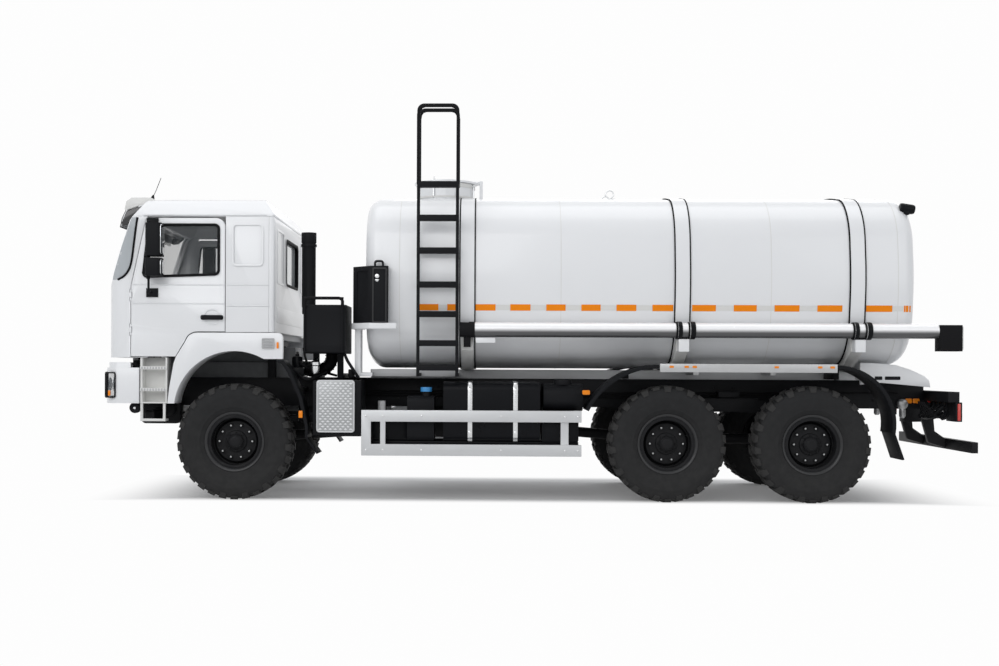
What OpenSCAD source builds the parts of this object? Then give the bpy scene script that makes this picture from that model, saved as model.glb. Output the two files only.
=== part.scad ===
// Six-wheel-drive tanker truck with a tilting cab, single tyres and a rounded water tank.
// Millimetres. +X points to the rear, -Y to the driver's side, +Z up. The floor is z = 0.
// Every module below is drawn with x = 0 at the front axle, and place() moves it to the part's frame.

/* [Chassis] */
// Front axle to second axle
wheelbase = 4375; // [4300:5:4500]
// Second axle to third axle
bogie = 1450; // [1420:5:1500]
// Front axle to the bumper's front face
front_overhang = 1330; // [1325:1:1340]
// Third axle to the back of the underrun bar
rear_overhang = 1650; // [1600:5:1720]
// Middle of the left tyres to middle of the right tyres
track = 2080; // [2060:2:2100]
// Width over the frame rails
frame_w = 860; // [840:5:880]
// Height of the frame rails' top
frame_top = 1236; // [1230:1:1240]
// Depth of a frame rail
rail_h = 300; // [280:5:310]
// Width of a frame rail's flange
rail_flange = 80; // [70:1:90]
// Plate thickness of the frame rails
rail_t = 9; // [7:0.5:12]

/* [Wheels] */
// Tyre diameter over the lugs
tyre_d = 1180; // [1160:5:1190]
// Tyre section width
tyre_w = 400; // [380:5:405]
// Rim diameter at the bead seat
rim_d = 508; // [500:1:520]
// Rim width between the flanges
rim_w = 260; // [240:2:270]
// Bolt circle of the wheel nuts
nut_circle = 335; // [320:1:345]
// Number of wheel nuts
nut_count = 10; // [8:1:12]
// Spindle diameter in the hubs
spindle_d = 120; // [100:1:130]
// Radial running clearance of pins and spindles
pin_gap = 0.3; // [0.2:0.05:0.5]
// Distance from a front tyre's middle to its kingpin
kingpin_offset = 250; // [240:1:260]
// Length of the steering arms
steer_arm = 300; // [280:5:310]

/* [Cab] */
// Width of the cab
cab_w = 2490; // [2460:5:2500]
// Front axle to the cab's front face
cab_front_x = 1290; // [1280:1:1292]
// Front axle to the outside of the cab's back wall
cab_back_x = 410; // [400:1:430]
// Height of the cab's lower front edge
cab_bottom = 1460; // [1458:1:1466]
// Height of the cab's belt line, under the windscreen
belt_z = 2165; // [2150:1:2180]
// Height of the line between doors and roof
roof_line = 2868; // [2860:1:2880]
// Height of the cab's roof
roof_top = 3060; // [3040:1:3080]
// Thickness of the cab's walls and doors
wall = 60; // [50:1:65]
// Gap round the doors
door_gap = 8; // [7:0.5:10]
// Height of the cab floor's underside
floor_z = 1640; // [1630:1:1660]

/* [Tank] */
// Width of the tank
tank_w = 2260; // [2240:2:2270]
// Height of the tank's lowest line
tank_bottom = 1345; // [1340:1:1350]
// Height of the tank's crown
tank_top = 3180; // [3160:1:3200]
// Radius of the tank's long corners
tank_r = 540; // [500:5:560]
// Front axle to the tank's front head
tank_front = 1310; // [1300:1:1330]
// Tank's rear head to the back of the underrun bar
tank_gap = 590; // [570:1:620]
// Radius of the tank heads' rounded edge
head_r = 150; // [120:5:180]
// Width of the tank bands
band_w = 150; // [120:5:170]
// Thickness of the tank bands
band_t = 10; // [6:1:12]
// Diameter of the hose tubes along the tank
tube_d = 150; // [140:1:156]
// Diameter of the manhole's neck
neck_d = 620; // [580:5:640]

/* [Hidden] */
$fn = 64;
overall_l = front_overhang + wheelbase + bogie + rear_overhang;
axle1_x = front_overhang - overall_l / 2;
axle2 = wheelbase;
axle3 = wheelbase + bogie;
back_end = axle3 + rear_overhang;
tank_back = back_end - tank_gap;
wheel_z = tyre_d / 2;
spindle_r = spindle_d / 2;
half_cab = cab_w / 2;
half_frame = frame_w / 2;
kingpin_y = track / 2 - kingpin_offset;
tyre_in = track / 2 - tyre_w / 2;
tyre_out = track / 2 + tyre_w / 2;
seat_gap = 0.3;
sides = [-1, 1];
axles = [0, axle2, axle3];

white = "#eef0f1";
black = "#1c1e21";
steel = "#b9bdc1";
grey = "#8f9497";
cream = "#d8d6cc";

// Points along an arc, from angle a0 to a1 in n steps
function arc(c, r, a0, a1, n = 8) =
    [for (i = [0:n]) c + r * [cos(a0 + (a1 - a0) * i / n), sin(a0 + (a1 - a0) * i / n)]];

// Rectangle from lo to hi with rounded corners
function round_rect(lo, hi, r, n = 5) = concat(
    arc([hi[0] - r, hi[1] - r], r, 0, 90, n),
    arc([lo[0] + r, hi[1] - r], r, 90, 180, n),
    arc([lo[0] + r, lo[1] + r], r, 180, 270, n),
    arc([hi[0] - r, lo[1] + r], r, 270, 360, n));

module place() { translate([axle1_x, 0, 0]) children(); }

// A block between two corners
module block(lo, hi) { translate(lo) cube(hi - lo); }

// A side-view outline in x and z, from y0 to y1
module side_view(y0, y1) {
    translate([0, y1, 0]) rotate([90, 0, 0]) linear_extrude(y1 - y0) children();
}

// A front-view outline in y and z, from x0 to x1
module front_view(x0, x1) {
    translate([x0, 0, 0]) rotate([90, 0, 90]) linear_extrude(x1 - x0) children();
}

// A round bar between two points on one axis
module rod_y(x, z, y0, y1, r) { translate([x, y0, z]) rotate([-90, 0, 0]) cylinder(r = r, h = y1 - y0); }
module rod_x(y, z, x0, x1, r) { translate([x0, y, z]) rotate([0, 90, 0]) cylinder(r = r, h = x1 - x0); }
module rod_z(x, y, z0, z1, r) { translate([x, y, z0]) cylinder(r = r, h = z1 - z0); }

module both_sides() {
    children();
    mirror([0, 1, 0]) children();
}

// Wheels

// A wheel's own frame: z points away from the truck, with its middle plane at z = 0
module at_wheel(x, side) {
    translate([x, side * track / 2, wheel_z]) rotate([side < 0 ? 90 : -90, 0, 0]) children();
}

bead_r = rim_d / 2;
flange_r = bead_r + 26;
flange_t = 12;
tread_drop = 55;
tyre_profile_half = [
    [bead_r + seat_gap, rim_w / 2 - 14], [bead_r + seat_gap, rim_w / 2 - 0.5],
    [flange_r + 2, rim_w / 2 - 0.5], [flange_r + 24, rim_w / 2 + 24],
    [(bead_r + wheel_z) / 2, tyre_w / 2], [wheel_z - 80, tyre_w / 2 - 4],
    [wheel_z - 30, tyre_w / 2 - 18], [wheel_z, tyre_w / 2 - tread_drop]
];

module tyre(x, side) {
    last = len(tyre_profile_half) - 1;
    color(black) at_wheel(x, side) rotate_extrude($fn = 96) polygon(concat(
        tyre_profile_half,
        [for (i = [last:-1:0]) [tyre_profile_half[i][0], -tyre_profile_half[i][1]]]));
}

barrel_t = 12;
disc_face = 40;
disc_t = 16;
hub_r = 112;
hub_back = -170;
cap_r = 78;
cap_top = 115;
nut_r = 18;
nut_h = 26;

module rim(x, side) {
    barrel_r = bead_r - barrel_t;
    color(black) at_wheel(x, side) {
        rotate_extrude($fn = 96) polygon([
            [0, cap_top], [cap_r - 16, cap_top], [cap_r, cap_top - 14], [cap_r, disc_face + 22],
            [hub_r - 6, disc_face + 14], [hub_r, disc_face], [barrel_r - 38, disc_face],
            [barrel_r - 12, 0], [barrel_r, 0], [barrel_r, rim_w / 2 + flange_t],
            [flange_r, rim_w / 2 + flange_t], [flange_r, rim_w / 2], [bead_r, rim_w / 2],
            [bead_r, -rim_w / 2], [flange_r, -rim_w / 2], [flange_r, -rim_w / 2 - flange_t],
            [barrel_r, -rim_w / 2 - flange_t], [barrel_r, -disc_t], [barrel_r - 14, -disc_t],
            [barrel_r - 40, disc_face - disc_t], [hub_r + 18, disc_face - disc_t],
            [hub_r + 18, -40], [hub_r, -60], [hub_r, hub_back],
            [spindle_r + pin_gap, hub_back], [spindle_r + pin_gap, spindle_end + 5],
            [0, spindle_end + 5]]);
        for (i = [0:nut_count - 1])
            rotate(i * 360 / nut_count) translate([nut_circle / 2, 0, disc_face - 1])
                cylinder(r = nut_r, h = nut_h + 1, $fn = 6);
    }
}

// Axles and steering

axle_tube_r = 75;
diff_r = 205;
diff_nose = 240;
diff_back = 150;
spindle_end = 15;
kingpin_r = 24;
yoke_reach = 55;
yoke_top = 136;
yoke_t = 38;
knuckle_r = 70;
knuckle_half = 91;
arm_drop = 50;
arm_t = 28;
ball_r = 14;
rod_end_r = 30;
rod_end_h = 40;
tie_rod_r = 20;

module differential(x) {
    translate([x, 0, wheel_z]) rotate([0, 90, 0]) rotate_extrude($fn = 72) polygon([
        [0, -diff_back], [90, -diff_back], [diff_r - 35, -95], [diff_r, -30], [diff_r, 30],
        [diff_r - 50, 110], [80, 190], [62, diff_nose], [0, diff_nose]]);
}

module front_axle() {
    color(black) {
        rod_y(0, wheel_z, -kingpin_y + 110, kingpin_y - 110, axle_tube_r);
        differential(0);
        for (s = sides) {
            block([-yoke_reach, s * (kingpin_y - 125) - 25, wheel_z - yoke_top],
                  [yoke_reach, s * (kingpin_y - 125) + 25, wheel_z + yoke_top]);
            for (up = sides) {
                z0 = up > 0 ? yoke_top - yoke_t : -yoke_top;
                translate([0, 0, wheel_z + z0]) linear_extrude(yoke_t) {
                    translate([-yoke_reach, s < 0 ? -kingpin_y : kingpin_y - 140])
                        square([2 * yoke_reach, 140]);
                    translate([0, s * kingpin_y]) circle(r = yoke_reach);
                }
                rod_z(0, s * kingpin_y, wheel_z + (up > 0 ? knuckle_half - 38 : -yoke_top),
                      wheel_z + (up > 0 ? yoke_top : -knuckle_half + 38), kingpin_r);
            }
        }
    }
}

module knuckle(s) {
    arm_z = wheel_z - arm_drop;
    color(black) difference() {
        union() {
            rod_z(0, s * kingpin_y, wheel_z - knuckle_half, wheel_z + knuckle_half, knuckle_r);
            at_wheel(0, s) {
                translate([0, 0, -kingpin_offset]) cylinder(r = spindle_r, h = kingpin_offset + spindle_end);
                translate([0, 0, hub_back - 12]) cylinder(r = bead_r - barrel_t - 30, h = 6);
            }
            translate([0, s * kingpin_y, arm_z - arm_t]) linear_extrude(arm_t) {
                translate([0, -30]) square([steer_arm, 60]);
                translate([steer_arm, 0]) circle(r = rod_end_r);
            }
            rod_z(steer_arm, s * kingpin_y, arm_z - arm_t - rod_end_h - 6, arm_z, ball_r);
        }
        for (z = [-knuckle_half - 1, knuckle_half - 38 - pin_gap])
            rod_z(0, s * kingpin_y, wheel_z + z, wheel_z + z + 39 + pin_gap, kingpin_r + pin_gap);
    }
}

module tie_rod() {
    z = wheel_z - arm_drop - arm_t - rod_end_h / 2 - 3;
    color(black) difference() {
        union() {
            rod_y(steer_arm, z, -kingpin_y, kingpin_y, tie_rod_r);
            for (s = sides)
                rod_z(steer_arm, s * kingpin_y, z - rod_end_h / 2, z + rod_end_h / 2, rod_end_r);
        }
        for (s = sides)
            rod_z(steer_arm, s * kingpin_y, z - rod_end_h, z + rod_end_h, ball_r + pin_gap);
    }
}

module rear_axles() {
    color(black) for (x = [axle2, axle3]) {
        rod_y(x, wheel_z, -tyre_in + 20, tyre_in - 20, axle_tube_r);
        differential(x);
        for (s = sides) at_wheel(x, s) {
            translate([0, 0, -kingpin_offset]) cylinder(r = spindle_r, h = kingpin_offset + spindle_end);
            translate([0, 0, hub_back - 12]) cylinder(r = bead_r - barrel_t - 30, h = 6);
        }
    }
}

// Leaf packs: front ones hang under the rails, rear ones lie across both rear axles
spring_w = 90;
front_spring_half = 760;
front_spring_t = 100;
rear_spring_y = 520;
rear_spring_t = 150;

// A pack of curved leaves with stepped ends: the outline's top is one arc, its underside steps leaf by leaf
module leaf_pack(half, sag, thick, leaves) {
    leaf_t = thick / leaves;
    r = (half * half + sag * sag) / (2 * sag);
    function rise(x) = r - sqrt(r * r - x * x);
    function tip(i) = half * (1 - 0.72 * i / leaves);
    steps = [for (i = [0:leaves - 1]) each [
        [tip(i), rise(tip(i)) - leaf_t * i], [tip(i), rise(tip(i)) - leaf_t * (i + 1)]]];
    last = len(steps) - 1;
    polygon(concat(
        [for (i = [1:11]) let (x = -half + i * half / 6) [x, rise(x)]],
        steps,
        [for (i = [last:-1:0]) [-steps[i][0], steps[i][1]]]));
}

module leaf_springs() {
    frame_bottom = frame_top - rail_h;
    pack_top = wheel_z + axle_tube_r + front_spring_t + 25;
    front_y = half_frame - rail_flange / 2;
    trunnion_x = axle2 + bogie / 2;
    rear_top = wheel_z + axle_tube_r + 25 + rear_spring_t + 60;
    color(black) both_sides() {
        // Front pack with its saddle on the axle, front hanger and rear shackle
        side_view(-front_y - spring_w / 2, -front_y + spring_w / 2) {
            translate([0, pack_top]) leaf_pack(front_spring_half, 90, front_spring_t, 5);
            for (x = [-1, 1]) translate([x * front_spring_half, 0])
                translate([-45, pack_top + 40]) square([90, frame_bottom - pack_top - 40]);
            translate([-80, wheel_z + axle_tube_r]) square([160, 40]);
        }
        // Rear pack over the trunnion, its ends resting on the axle tubes
        side_view(-rear_spring_y - spring_w / 2, -rear_spring_y + spring_w / 2) {
            translate([trunnion_x, rear_top]) mirror([0, 1]) leaf_pack(bogie / 2 + 60, 60, rear_spring_t, 6);
            for (x = [axle2, axle3])
                translate([x - 70, wheel_z + axle_tube_r]) square([140, rear_top - wheel_z - axle_tube_r - 50]);
        }
        block([trunnion_x - 110, -rear_spring_y - 60, rear_top + rear_spring_t],
              [trunnion_x + 110, -half_frame, rear_top + rear_spring_t + 60]);
    }
}

// Frame and driveline

frame_front = -1180;
rear_beam_reach = 300;
frame_back = back_end - rear_beam_reach - seat_gap;
cross_members = [
    // x, height of the member
    [-1150, 220], [1560, 150], [2750, 160], [axle2 - 500, 160], [axle2 + bogie / 2, 200],
    [axle3 + 500, 160], [frame_back - 60, 220]];
tilt_x = -cab_front_x + 50;
tilt_z = cab_bottom - 28;
tilt_pin_r = 12;
tilt_y = 330;
cab_support_x = 250;

module frame() {
    color(black) {
        both_sides() front_view(frame_front, frame_back) difference() {
            translate([-half_frame, frame_top - rail_h]) square([rail_flange, rail_h]);
            translate([-half_frame + rail_t, frame_top - rail_h + rail_t])
                square([rail_flange, rail_h - 2 * rail_t]);
        }
        for (m = cross_members)
            block([m[0] - 30, -half_frame + rail_t, frame_top - m[1] - 20],
                  [m[0] + 30, half_frame - rail_t, frame_top - 20]);
        // Cab hinge stands at the front and the cab's rear rest
        for (s = sides) {
            difference() {
                block([tilt_x - 20, s * tilt_y - 20, frame_top - 10], [tilt_x + 70, s * tilt_y + 20, tilt_z + 22]);
                rod_y(tilt_x, tilt_z, s * tilt_y - 30, s * tilt_y + 30, tilt_pin_r + pin_gap);
            }
            block([-front_overhang + bumper_t + seat_gap, s * tilt_y - 60, frame_top - 60], [frame_front + 60, s * tilt_y + 60, frame_top - 8]);
            block([cab_support_x - 40, s * (half_frame - 60) - 35, frame_top],
                  [cab_support_x + 40, s * (half_frame - 60) + 35, floor_z - 60]);
        }
        block([cab_support_x - 50, -half_frame - 60, floor_z - 60],
              [cab_support_x + 50, half_frame + 60, floor_z - seat_gap]);
    }
}

engine_w = 620;
engine_top = 1560;

module engine() {
    color(grey) {
        block([-640, -engine_w / 2, frame_top - rail_h - 60], [520, engine_w / 2, engine_top - 160]);
        block([-600, -engine_w / 2 + 90, engine_top - 160], [480, engine_w / 2 - 90, engine_top]);
        block([-900, -engine_w / 2 - 20, frame_top - 250], [-780, engine_w / 2 + 20, engine_top - 20]);
        rod_x(0, wheel_z + 560, -780, -640, 240);
    }
}

gearbox_z = 985;
transfer_x = 2150;
transfer_z = 900;
shaft_r = 55;

// Room that a slanting shaft's end needs before a flat face
function shaft_gap(a, b) = seat_gap + shaft_r * abs(b[1] - a[1]) / norm(b - a);

// A shaft between two points in the plane y = 0
module shaft(a, b) {
    d = b - a;
    translate([a[0], 0, a[1]]) rotate([0, atan2(d[0], d[1]), 0]) cylinder(r = shaft_r, h = norm(d));
}

module driveline() {
    color(grey) {
        rod_x(0, gearbox_z, 520 + seat_gap, 900, 250);
        rod_x(0, gearbox_z, 900, 1450, 190);
        block([transfer_x - 220, -230, transfer_z - 300], [transfer_x + 220, 230, transfer_z + 280]);
        shaft([1450, gearbox_z], [transfer_x - 220, gearbox_z]);
        front_a = [diff_nose, wheel_z];
        front_b = [transfer_x - 220, transfer_z - 190];
        shaft(front_a + [shaft_gap(front_a, front_b), 0], front_b);
        rear_a = [transfer_x + 220, transfer_z - 150];
        rear_b = [axle2 - diff_back, wheel_z + 10];
        shaft(rear_a, rear_b - [shaft_gap(rear_a, rear_b), 0]);
        shaft([axle2 + diff_nose + seat_gap, wheel_z], [axle3 - diff_back - seat_gap, wheel_z]);
        block([transfer_x - 60, -half_frame + rail_t + 1, transfer_z + 100],
              [transfer_x + 60, half_frame - rail_t - 1, transfer_z + 180]);
    }
}

// Front bumper and lamps

bumper_t = 50;
bumper_r = 170;
bumper_bottom = 976;
bumper_top = cab_bottom - 68;
bumper_step = 1337;
bumper_back = -965;
lamp_z = [1040, 1282];
lamp_in = 760;

// Plan outline of the bumper's outside or, with an inset, of its hollow
function bumper_plan(d, grow = 0) = concat(
    [[bumper_back + grow, half_cab - d], [bumper_back + grow, -half_cab + d]],
    arc([-front_overhang + bumper_r, -half_cab + bumper_r], bumper_r - d, 270, 180, 8),
    arc([-front_overhang + bumper_r, half_cab - bumper_r], bumper_r - d, 180, 90, 8));

module bumper_solid(d, z0, z1, grow = 0) {
    translate([0, 0, z0]) linear_extrude(z1 - z0) polygon(bumper_plan(d, grow));
}

module lamp_pockets(gap) {
    for (s = sides)
        block([-front_overhang - 20, s > 0 ? lamp_in + gap : -half_cab - 20, lamp_z[0] + gap],
              [-front_overhang + 125 - gap, s > 0 ? half_cab + 20 : -lamp_in - gap, lamp_z[1] - gap]);
}

module bumper() {
    color(white) {
        difference() {
            bumper_solid(0, bumper_bottom, bumper_step);
            bumper_solid(bumper_t, bumper_bottom - 1, bumper_step - 40, 10);
            lamp_pockets(0);
            // Grille slot and number-plate recess
            for (i = [0:2])
                block([-front_overhang - 20, -600, 1200 + i * 38], [-front_overhang + bumper_t + 10, 600, 1218 + i * 38]);
            block([tilt_x - 40, -half_frame - 60, bumper_bottom], [bumper_back + 20, half_frame + 60, bumper_step + 1]);
        }
        difference() {
            bumper_solid(22, bumper_step, bumper_top, -90);
            bumper_solid(22 + 28, bumper_step - 1, bumper_top + 1, 10);
        }
    }
}

module lamps() {
    color("#d7dde2") intersection() {
        difference() {
            bumper_solid(4, bumper_bottom, bumper_step);
            bumper_solid(bumper_t + 20, bumper_bottom - 1, bumper_step + 1, 10);
        }
        lamp_pockets(seat_gap);
    }
    color("#b3201c") for (s = sides)
        block([beam_x - 40, s * 1060 - 140, tail_z[0]], [beam_x + 25, s * 1060 + 140, tail_z[1]]);
}

// Rear beam, underrun bar and towing jaw

beam_w = 110;
beam_x = back_end - rear_beam_reach + beam_w;
beam_z = [1025, 1130];
tail_z = [830, beam_z[0] - seat_gap];
bar_z = [515, 625];
hitch_z = 860;
hitch_r = 20;

module rear_beam() {
    color(black) {
        difference() {
            union() {
                block([beam_x - beam_w, -1190, beam_z[0]], [beam_x, 1190, beam_z[1]]);
                block([back_end - 60, -1180, bar_z[0]], [back_end, 1180, bar_z[1]]);
                for (s = sides) {
                    side_view(s * 360 - 35, s * 360 + 35) polygon([
                        [frame_back + 1, beam_z[0] + 10], [beam_x - 10, beam_z[0] + 10],
                        [beam_x + 20, 700], [back_end - 55, bar_z[1] - 5], [back_end - 55, bar_z[0] + 10],
                        [beam_x - 40, 580], [frame_back + 1, 830]]);
                    block([frame_back, s * (half_frame - 50) - 30, beam_z[0] + 5],
                          [beam_x - 105, s * (half_frame - 50) + 30, beam_z[1] - 5]);
                }
                // Towing jaw under the end cross member
                block([frame_back - 90, -90, hitch_z - 75], [frame_back + 40, 90, hitch_z + 75]);
                block([frame_back + 40, -60, hitch_z - 75], [frame_back + 200, 60, hitch_z + 75]);
                block([frame_back - 89, -120, hitch_z + 70], [frame_back - 40, 120, frame_top - 240 - seat_gap]);
            }
            block([frame_back + 90, -70, hitch_z - 35], [frame_back + 210, 70, hitch_z + 35]);
            rod_z(frame_back + 150, 0, hitch_z - 90, hitch_z + 90, hitch_r);
        }
    }
}

module tail_fairing() {
    color(white) difference() {
        side_view(-560, 560) polygon([
            [axle3 + 420, frame_top + seat_gap], [axle3 + 420, frame_top + 88], [axle3 + 620, frame_top + 93],
            [axle3 + 900, frame_top + 80], [beam_x - 190, frame_top + 25], [beam_x - 140, frame_top + seat_gap]]);
        for (x = [axle3 + 640, axle3 + 760])
            block([x, -580, frame_top + 45], [x + 80, -500, frame_top + 62]);
    }
}

// Side equipment under the tank

// Places along the bay between the front and the second wheels, as parts of its length
bay = [1291, axle2 - 867];
function bay_x(part) = bay[0] + part * (bay[1] - bay[0]);
fuel_x = [bay_x(0.372), bay_x(0.813)];
fuel_straps = [bay_x(0.484), bay_x(0.691)];
strap_w = 45;
fuel_y = [-1175, -520];
fuel_z = [600, 1205];

module fuel_tank() {
    color(black) {
        front_view(fuel_x[0], fuel_x[1])
            polygon(round_rect([fuel_y[0], fuel_z[0]], [fuel_y[1], fuel_z[1]], 80));
        // Brackets to the frame rail
        for (x = [fuel_x[0] + 160, fuel_x[1] - 240])
            block([x, fuel_y[1], fuel_z[0] + 120], [x + 80, -half_frame - seat_gap, fuel_z[1] - 120]);
    }
    color(steel) for (x = fuel_straps) front_view(x, x + strap_w) difference() {
        polygon(round_rect([fuel_y[0] - 5, fuel_z[0] - 5], [fuel_y[1] + 1, fuel_z[1] + 5], 84));
        polygon(round_rect([fuel_y[0], fuel_z[0]], [fuel_y[1] + 2, fuel_z[1]], 80));
    }
}

urea_x = [bay_x(0.206), bay_x(0.33)];
oil_x = [bay_x(0.83), bay_x(1.01)];

module service_tanks() {
    // Urea tank with its filler neck, then the oil reservoir above the fuel tank's rear end
    color(black) {
        front_view(urea_x[0], urea_x[1]) polygon(round_rect([-1150, 600], [-760, 1060], 60));
        rod_z(urea_x[0] + 190, -1040, 1055, 1105, 45);
        block([urea_x[0] + 90, -765, 700], [urea_x[0] + 170, -half_frame - seat_gap, 980]);
        front_view(oil_x[0], oil_x[1]) polygon(round_rect([-1120, 915], [-540, 1190], 110));
        block([oil_x[0] + 70, -560, 1000], [oil_x[0] + 170, -half_frame - seat_gap, 1120]);
        rod_z((oil_x[0] + oil_x[1]) / 2, -980, 1180, 1232, 95);
    }
    color("#3a8fd8") rod_z(urea_x[0] + 190, -1040, 1105, 1150, 58);
}

battery_x = [837, 1222];

module battery_box() {
    color(black) {
        front_view(battery_x[0] - 40, battery_x[1] + 60)
            polygon(round_rect([-1205, 650], [-620, 1215], 25));
        block([battery_x[0] + 60, -622, 760], [battery_x[1] - 60, -half_frame - seat_gap, 1150]);
    }
    color(steel) side_view(-1235, -1205)
        polygon(round_rect([battery_x[0], 692], [battery_x[1], 1220], 30));
}

guard_bars = [[461, 577], [804, 920]];
guard_posts = [[bay[0], bay[0] + 96], [bay[0] + 192, bay[0] + 243], [bay[1] - 208, bay[1] - 128]];
guard_arms = [bay[0] + 109, bay[1] - 208];
guard_y = [1195, 1240];

module side_guards() {
    color("#aab0b5") for (s = sides) {
        y0 = s < 0 ? -guard_y[1] : guard_y[0];
        y1 = s < 0 ? -guard_y[0] : guard_y[1];
        for (b = guard_bars) block([bay[0], y0, b[0]], [bay[1], y1, b[1]]);
        for (i = [0:2]) {
            p = guard_posts[i];
            // The last post stands behind the bars, on the arm's end
            in = i == 2 ? 30 * s : 0;
            block([p[0], y0 - in, guard_bars[0][0] + 4], [p[1], y1 - in, guard_bars[1][1] - 4]);
        }
        for (x = guard_arms)
            block([x, s < 0 ? -guard_y[0] - 8 : half_frame + seat_gap, 840],
                  [x + 80, s < 0 ? -half_frame - seat_gap : guard_y[0] + 8, 890]);
        for (x = guard_arms)
            block([x, s < 0 ? -half_frame - 60 : half_frame + seat_gap, 840],
                  [x + 80, s < 0 ? -half_frame - seat_gap : half_frame + 60, frame_top - rail_h + 60]);
    }
}

silencer_x = [bay_x(0.185), bay_x(0.545)];

module silencer() {
    color(grey) {
        front_view(silencer_x[0], silencer_x[1]) polygon(round_rect([560, 640], [1140, 1150], 90));
        for (x = [silencer_x[0] + 150, silencer_x[1] - 230])
            block([x, half_frame + seat_gap, 800], [x + 80, 562, 1050]);
        rod_x(850, 900, silencer_x[1], silencer_x[1] + 140, 60);
    }
}

air_x = [bay_x(0.636), bay_x(0.893)];

module air_tanks() {
    color(black) {
        for (p = [[760, 800], [1040, 800]]) rod_x(p[0], p[1], air_x[0], air_x[1], 125);
        for (x = [air_x[0] + 90, air_x[1] - 150]) {
            block([x, half_frame + 40, 760], [x + 60, 1040, 840]);
            block([x, half_frame + seat_gap, 760], [x + 60, half_frame + 60, frame_top - rail_h + 80]);
        }
    }
}

// Mudguards

guard_in = tyre_in - 5;
guard_out = half_cab;
guard_t = 36;
plate_top = 1400;
arch2_r = 832;
arch3_r = 587;
arch2_x = axle2 - 86;
arch3_x = axle3 + 232;
flap_t = 14;

module mudguards() {
    color(black) both_sides() {
        // Rear half of the front wheel's mudguard, with its flap
        side_view(-guard_out, -kingpin_y - 140) {
            polygon([[441, 1418], [505, 1418], [580, 1302], [690, 1047], [752, 742], [752, 640],
                     [724, 640], [724, 742], [655, 1040], [545, 1290], [480, 1385], [441, 1395]]);
            polygon([[724, 642], [740, 642], [858, 480], [842, 472]]);
        }
        block([560, -kingpin_y - 145, 1080], [640, -half_frame - seat_gap, 1140]);
        // Arches before the second wheel and behind the third, with the rear flap
        side_view(-guard_out, -guard_in) {
            polygon(concat(
                arc([arch2_x, plate_top - 10 - arch2_r], arch2_r, 90, 153, 14),
                arc([arch2_x, plate_top - 10 - arch2_r], arch2_r - guard_t, 153, 90, 14)));
            polygon(concat(
                arc([arch3_x, plate_top - 10 - arch3_r], arch3_r, 90, -9, 18),
                arc([arch3_x, plate_top - 10 - arch3_r], arch3_r - guard_t, -9, 90, 18)));
            polygon([[arch3_x + 555, 725], [arch3_x + 572, 725], [arch3_x + 668, 452], [arch3_x + 648, 446]]);
        }
        for (b = [[arch2_x - 330, 1305], [arch3_x + 60, 1362]])
            block([b[0], -guard_in - 10, plate_top - 155], [b[0] + 60, -half_frame - 20 - seat_gap, b[1]]);
    }
}

module walkway_plates() {
    color(steel) both_sides() {
        front_view(arch2_x + seat_gap, arch3_x - seat_gap) polygon([
            [-guard_out - 4, plate_top - 85], [-guard_out - 4, plate_top], [-guard_in, plate_top],
            [-guard_in, plate_top - 12], [-guard_out + 8, plate_top - 12], [-guard_out + 8, plate_top - 85]]);
        for (x = [axle2 + 300, axle3 - 360]) {
            block([x, -guard_in - 60, plate_top - 115], [x + 60, -half_frame - 20 - seat_gap, plate_top - 75]);
            block([x, -guard_in - 60, plate_top - 115], [x + 60, -guard_in, plate_top - 11]);
        }
    }
}

// Behind the cab

module air_intake() {
    color(black) {
        front_view(693, 1119) polygon(round_rect([-1160, 1490], [-520, 1985], 25));
        for (x = [760, 1010]) {
            block([x, -900, frame_top + seat_gap], [x + 60, -half_frame + 60, frame_top + 50]);
            block([x, -900, frame_top + seat_gap], [x + 60, -840, 1492]);
        }
        // Intake stack with its rain cap
        rod_z(700, -820, 1975, 2640, 72);
        rod_z(700, -820, 2600, 2625, 82);
        rod_z(700, -820, 2640, 2745, 78);
        block([640, -880, 1900], [700, -760, 1990]);
        // Hoop over the air cleaner
        for (x = [705, 1090]) rod_z(x, -1178, 1500, 2050, 11);
        rod_x(-1178, 2050, 705 - 11, 1090 + 11, 11);
        for (x = [705, 1090]) for (z = [1560, 1920])
            block([x - 11, -1178, z], [x + 11, -1150, z + 20]);
    }
}

// Tank

tank_h = tank_top - tank_bottom;
tank_mid = (tank_top + tank_bottom) / 2;
crown = 60;
bulge = 30;

// Rounded tank section with a bowed crown and sides, grown by d. Columns are y and z.
function tank_section(d, n = 8) =
    let (w = tank_w / 2 + d, h = tank_h / 2 + d, r = tank_r + d,
         cy = w - bulge - r, cz = h - crown - r,
         side_r = (cz * cz + bulge * bulge) / (2 * bulge), top_r = (cy * cy + crown * crown) / (2 * crown),
         side_a = asin(cz / side_r), top_a = asin(cy / top_r))
    [for (q = [0:3])
        let (sy = q == 0 || q == 3 ? 1 : -1, sz = q < 2 ? 1 : -1,
             first = [for (i = [0:4]) let (a = side_a * i / 5)
                 [w - side_r + side_r * cos(a), side_r * sin(a)]],
             corner = [for (i = [0:n]) let (a = side_a + (90 - top_a - side_a) * i / n)
                 [cy + r * cos(a) + (bulge - side_r * (1 - cos(side_a))) + bulge - bulge,
                  cz + r * sin(a)]],
             last = [for (i = [1:4]) let (a = top_a * (1 - i / 5))
                 [top_r * sin(a), h - top_r + top_r * cos(a)]],
             quarter = concat(first, corner, last),
             run = q == 0 || q == 2 ? quarter : [for (i = [len(quarter) - 1:-1:0]) quarter[i]])
        each [for (p = run) [sy * p[0], tank_mid + sz * p[1]]]];

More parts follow.
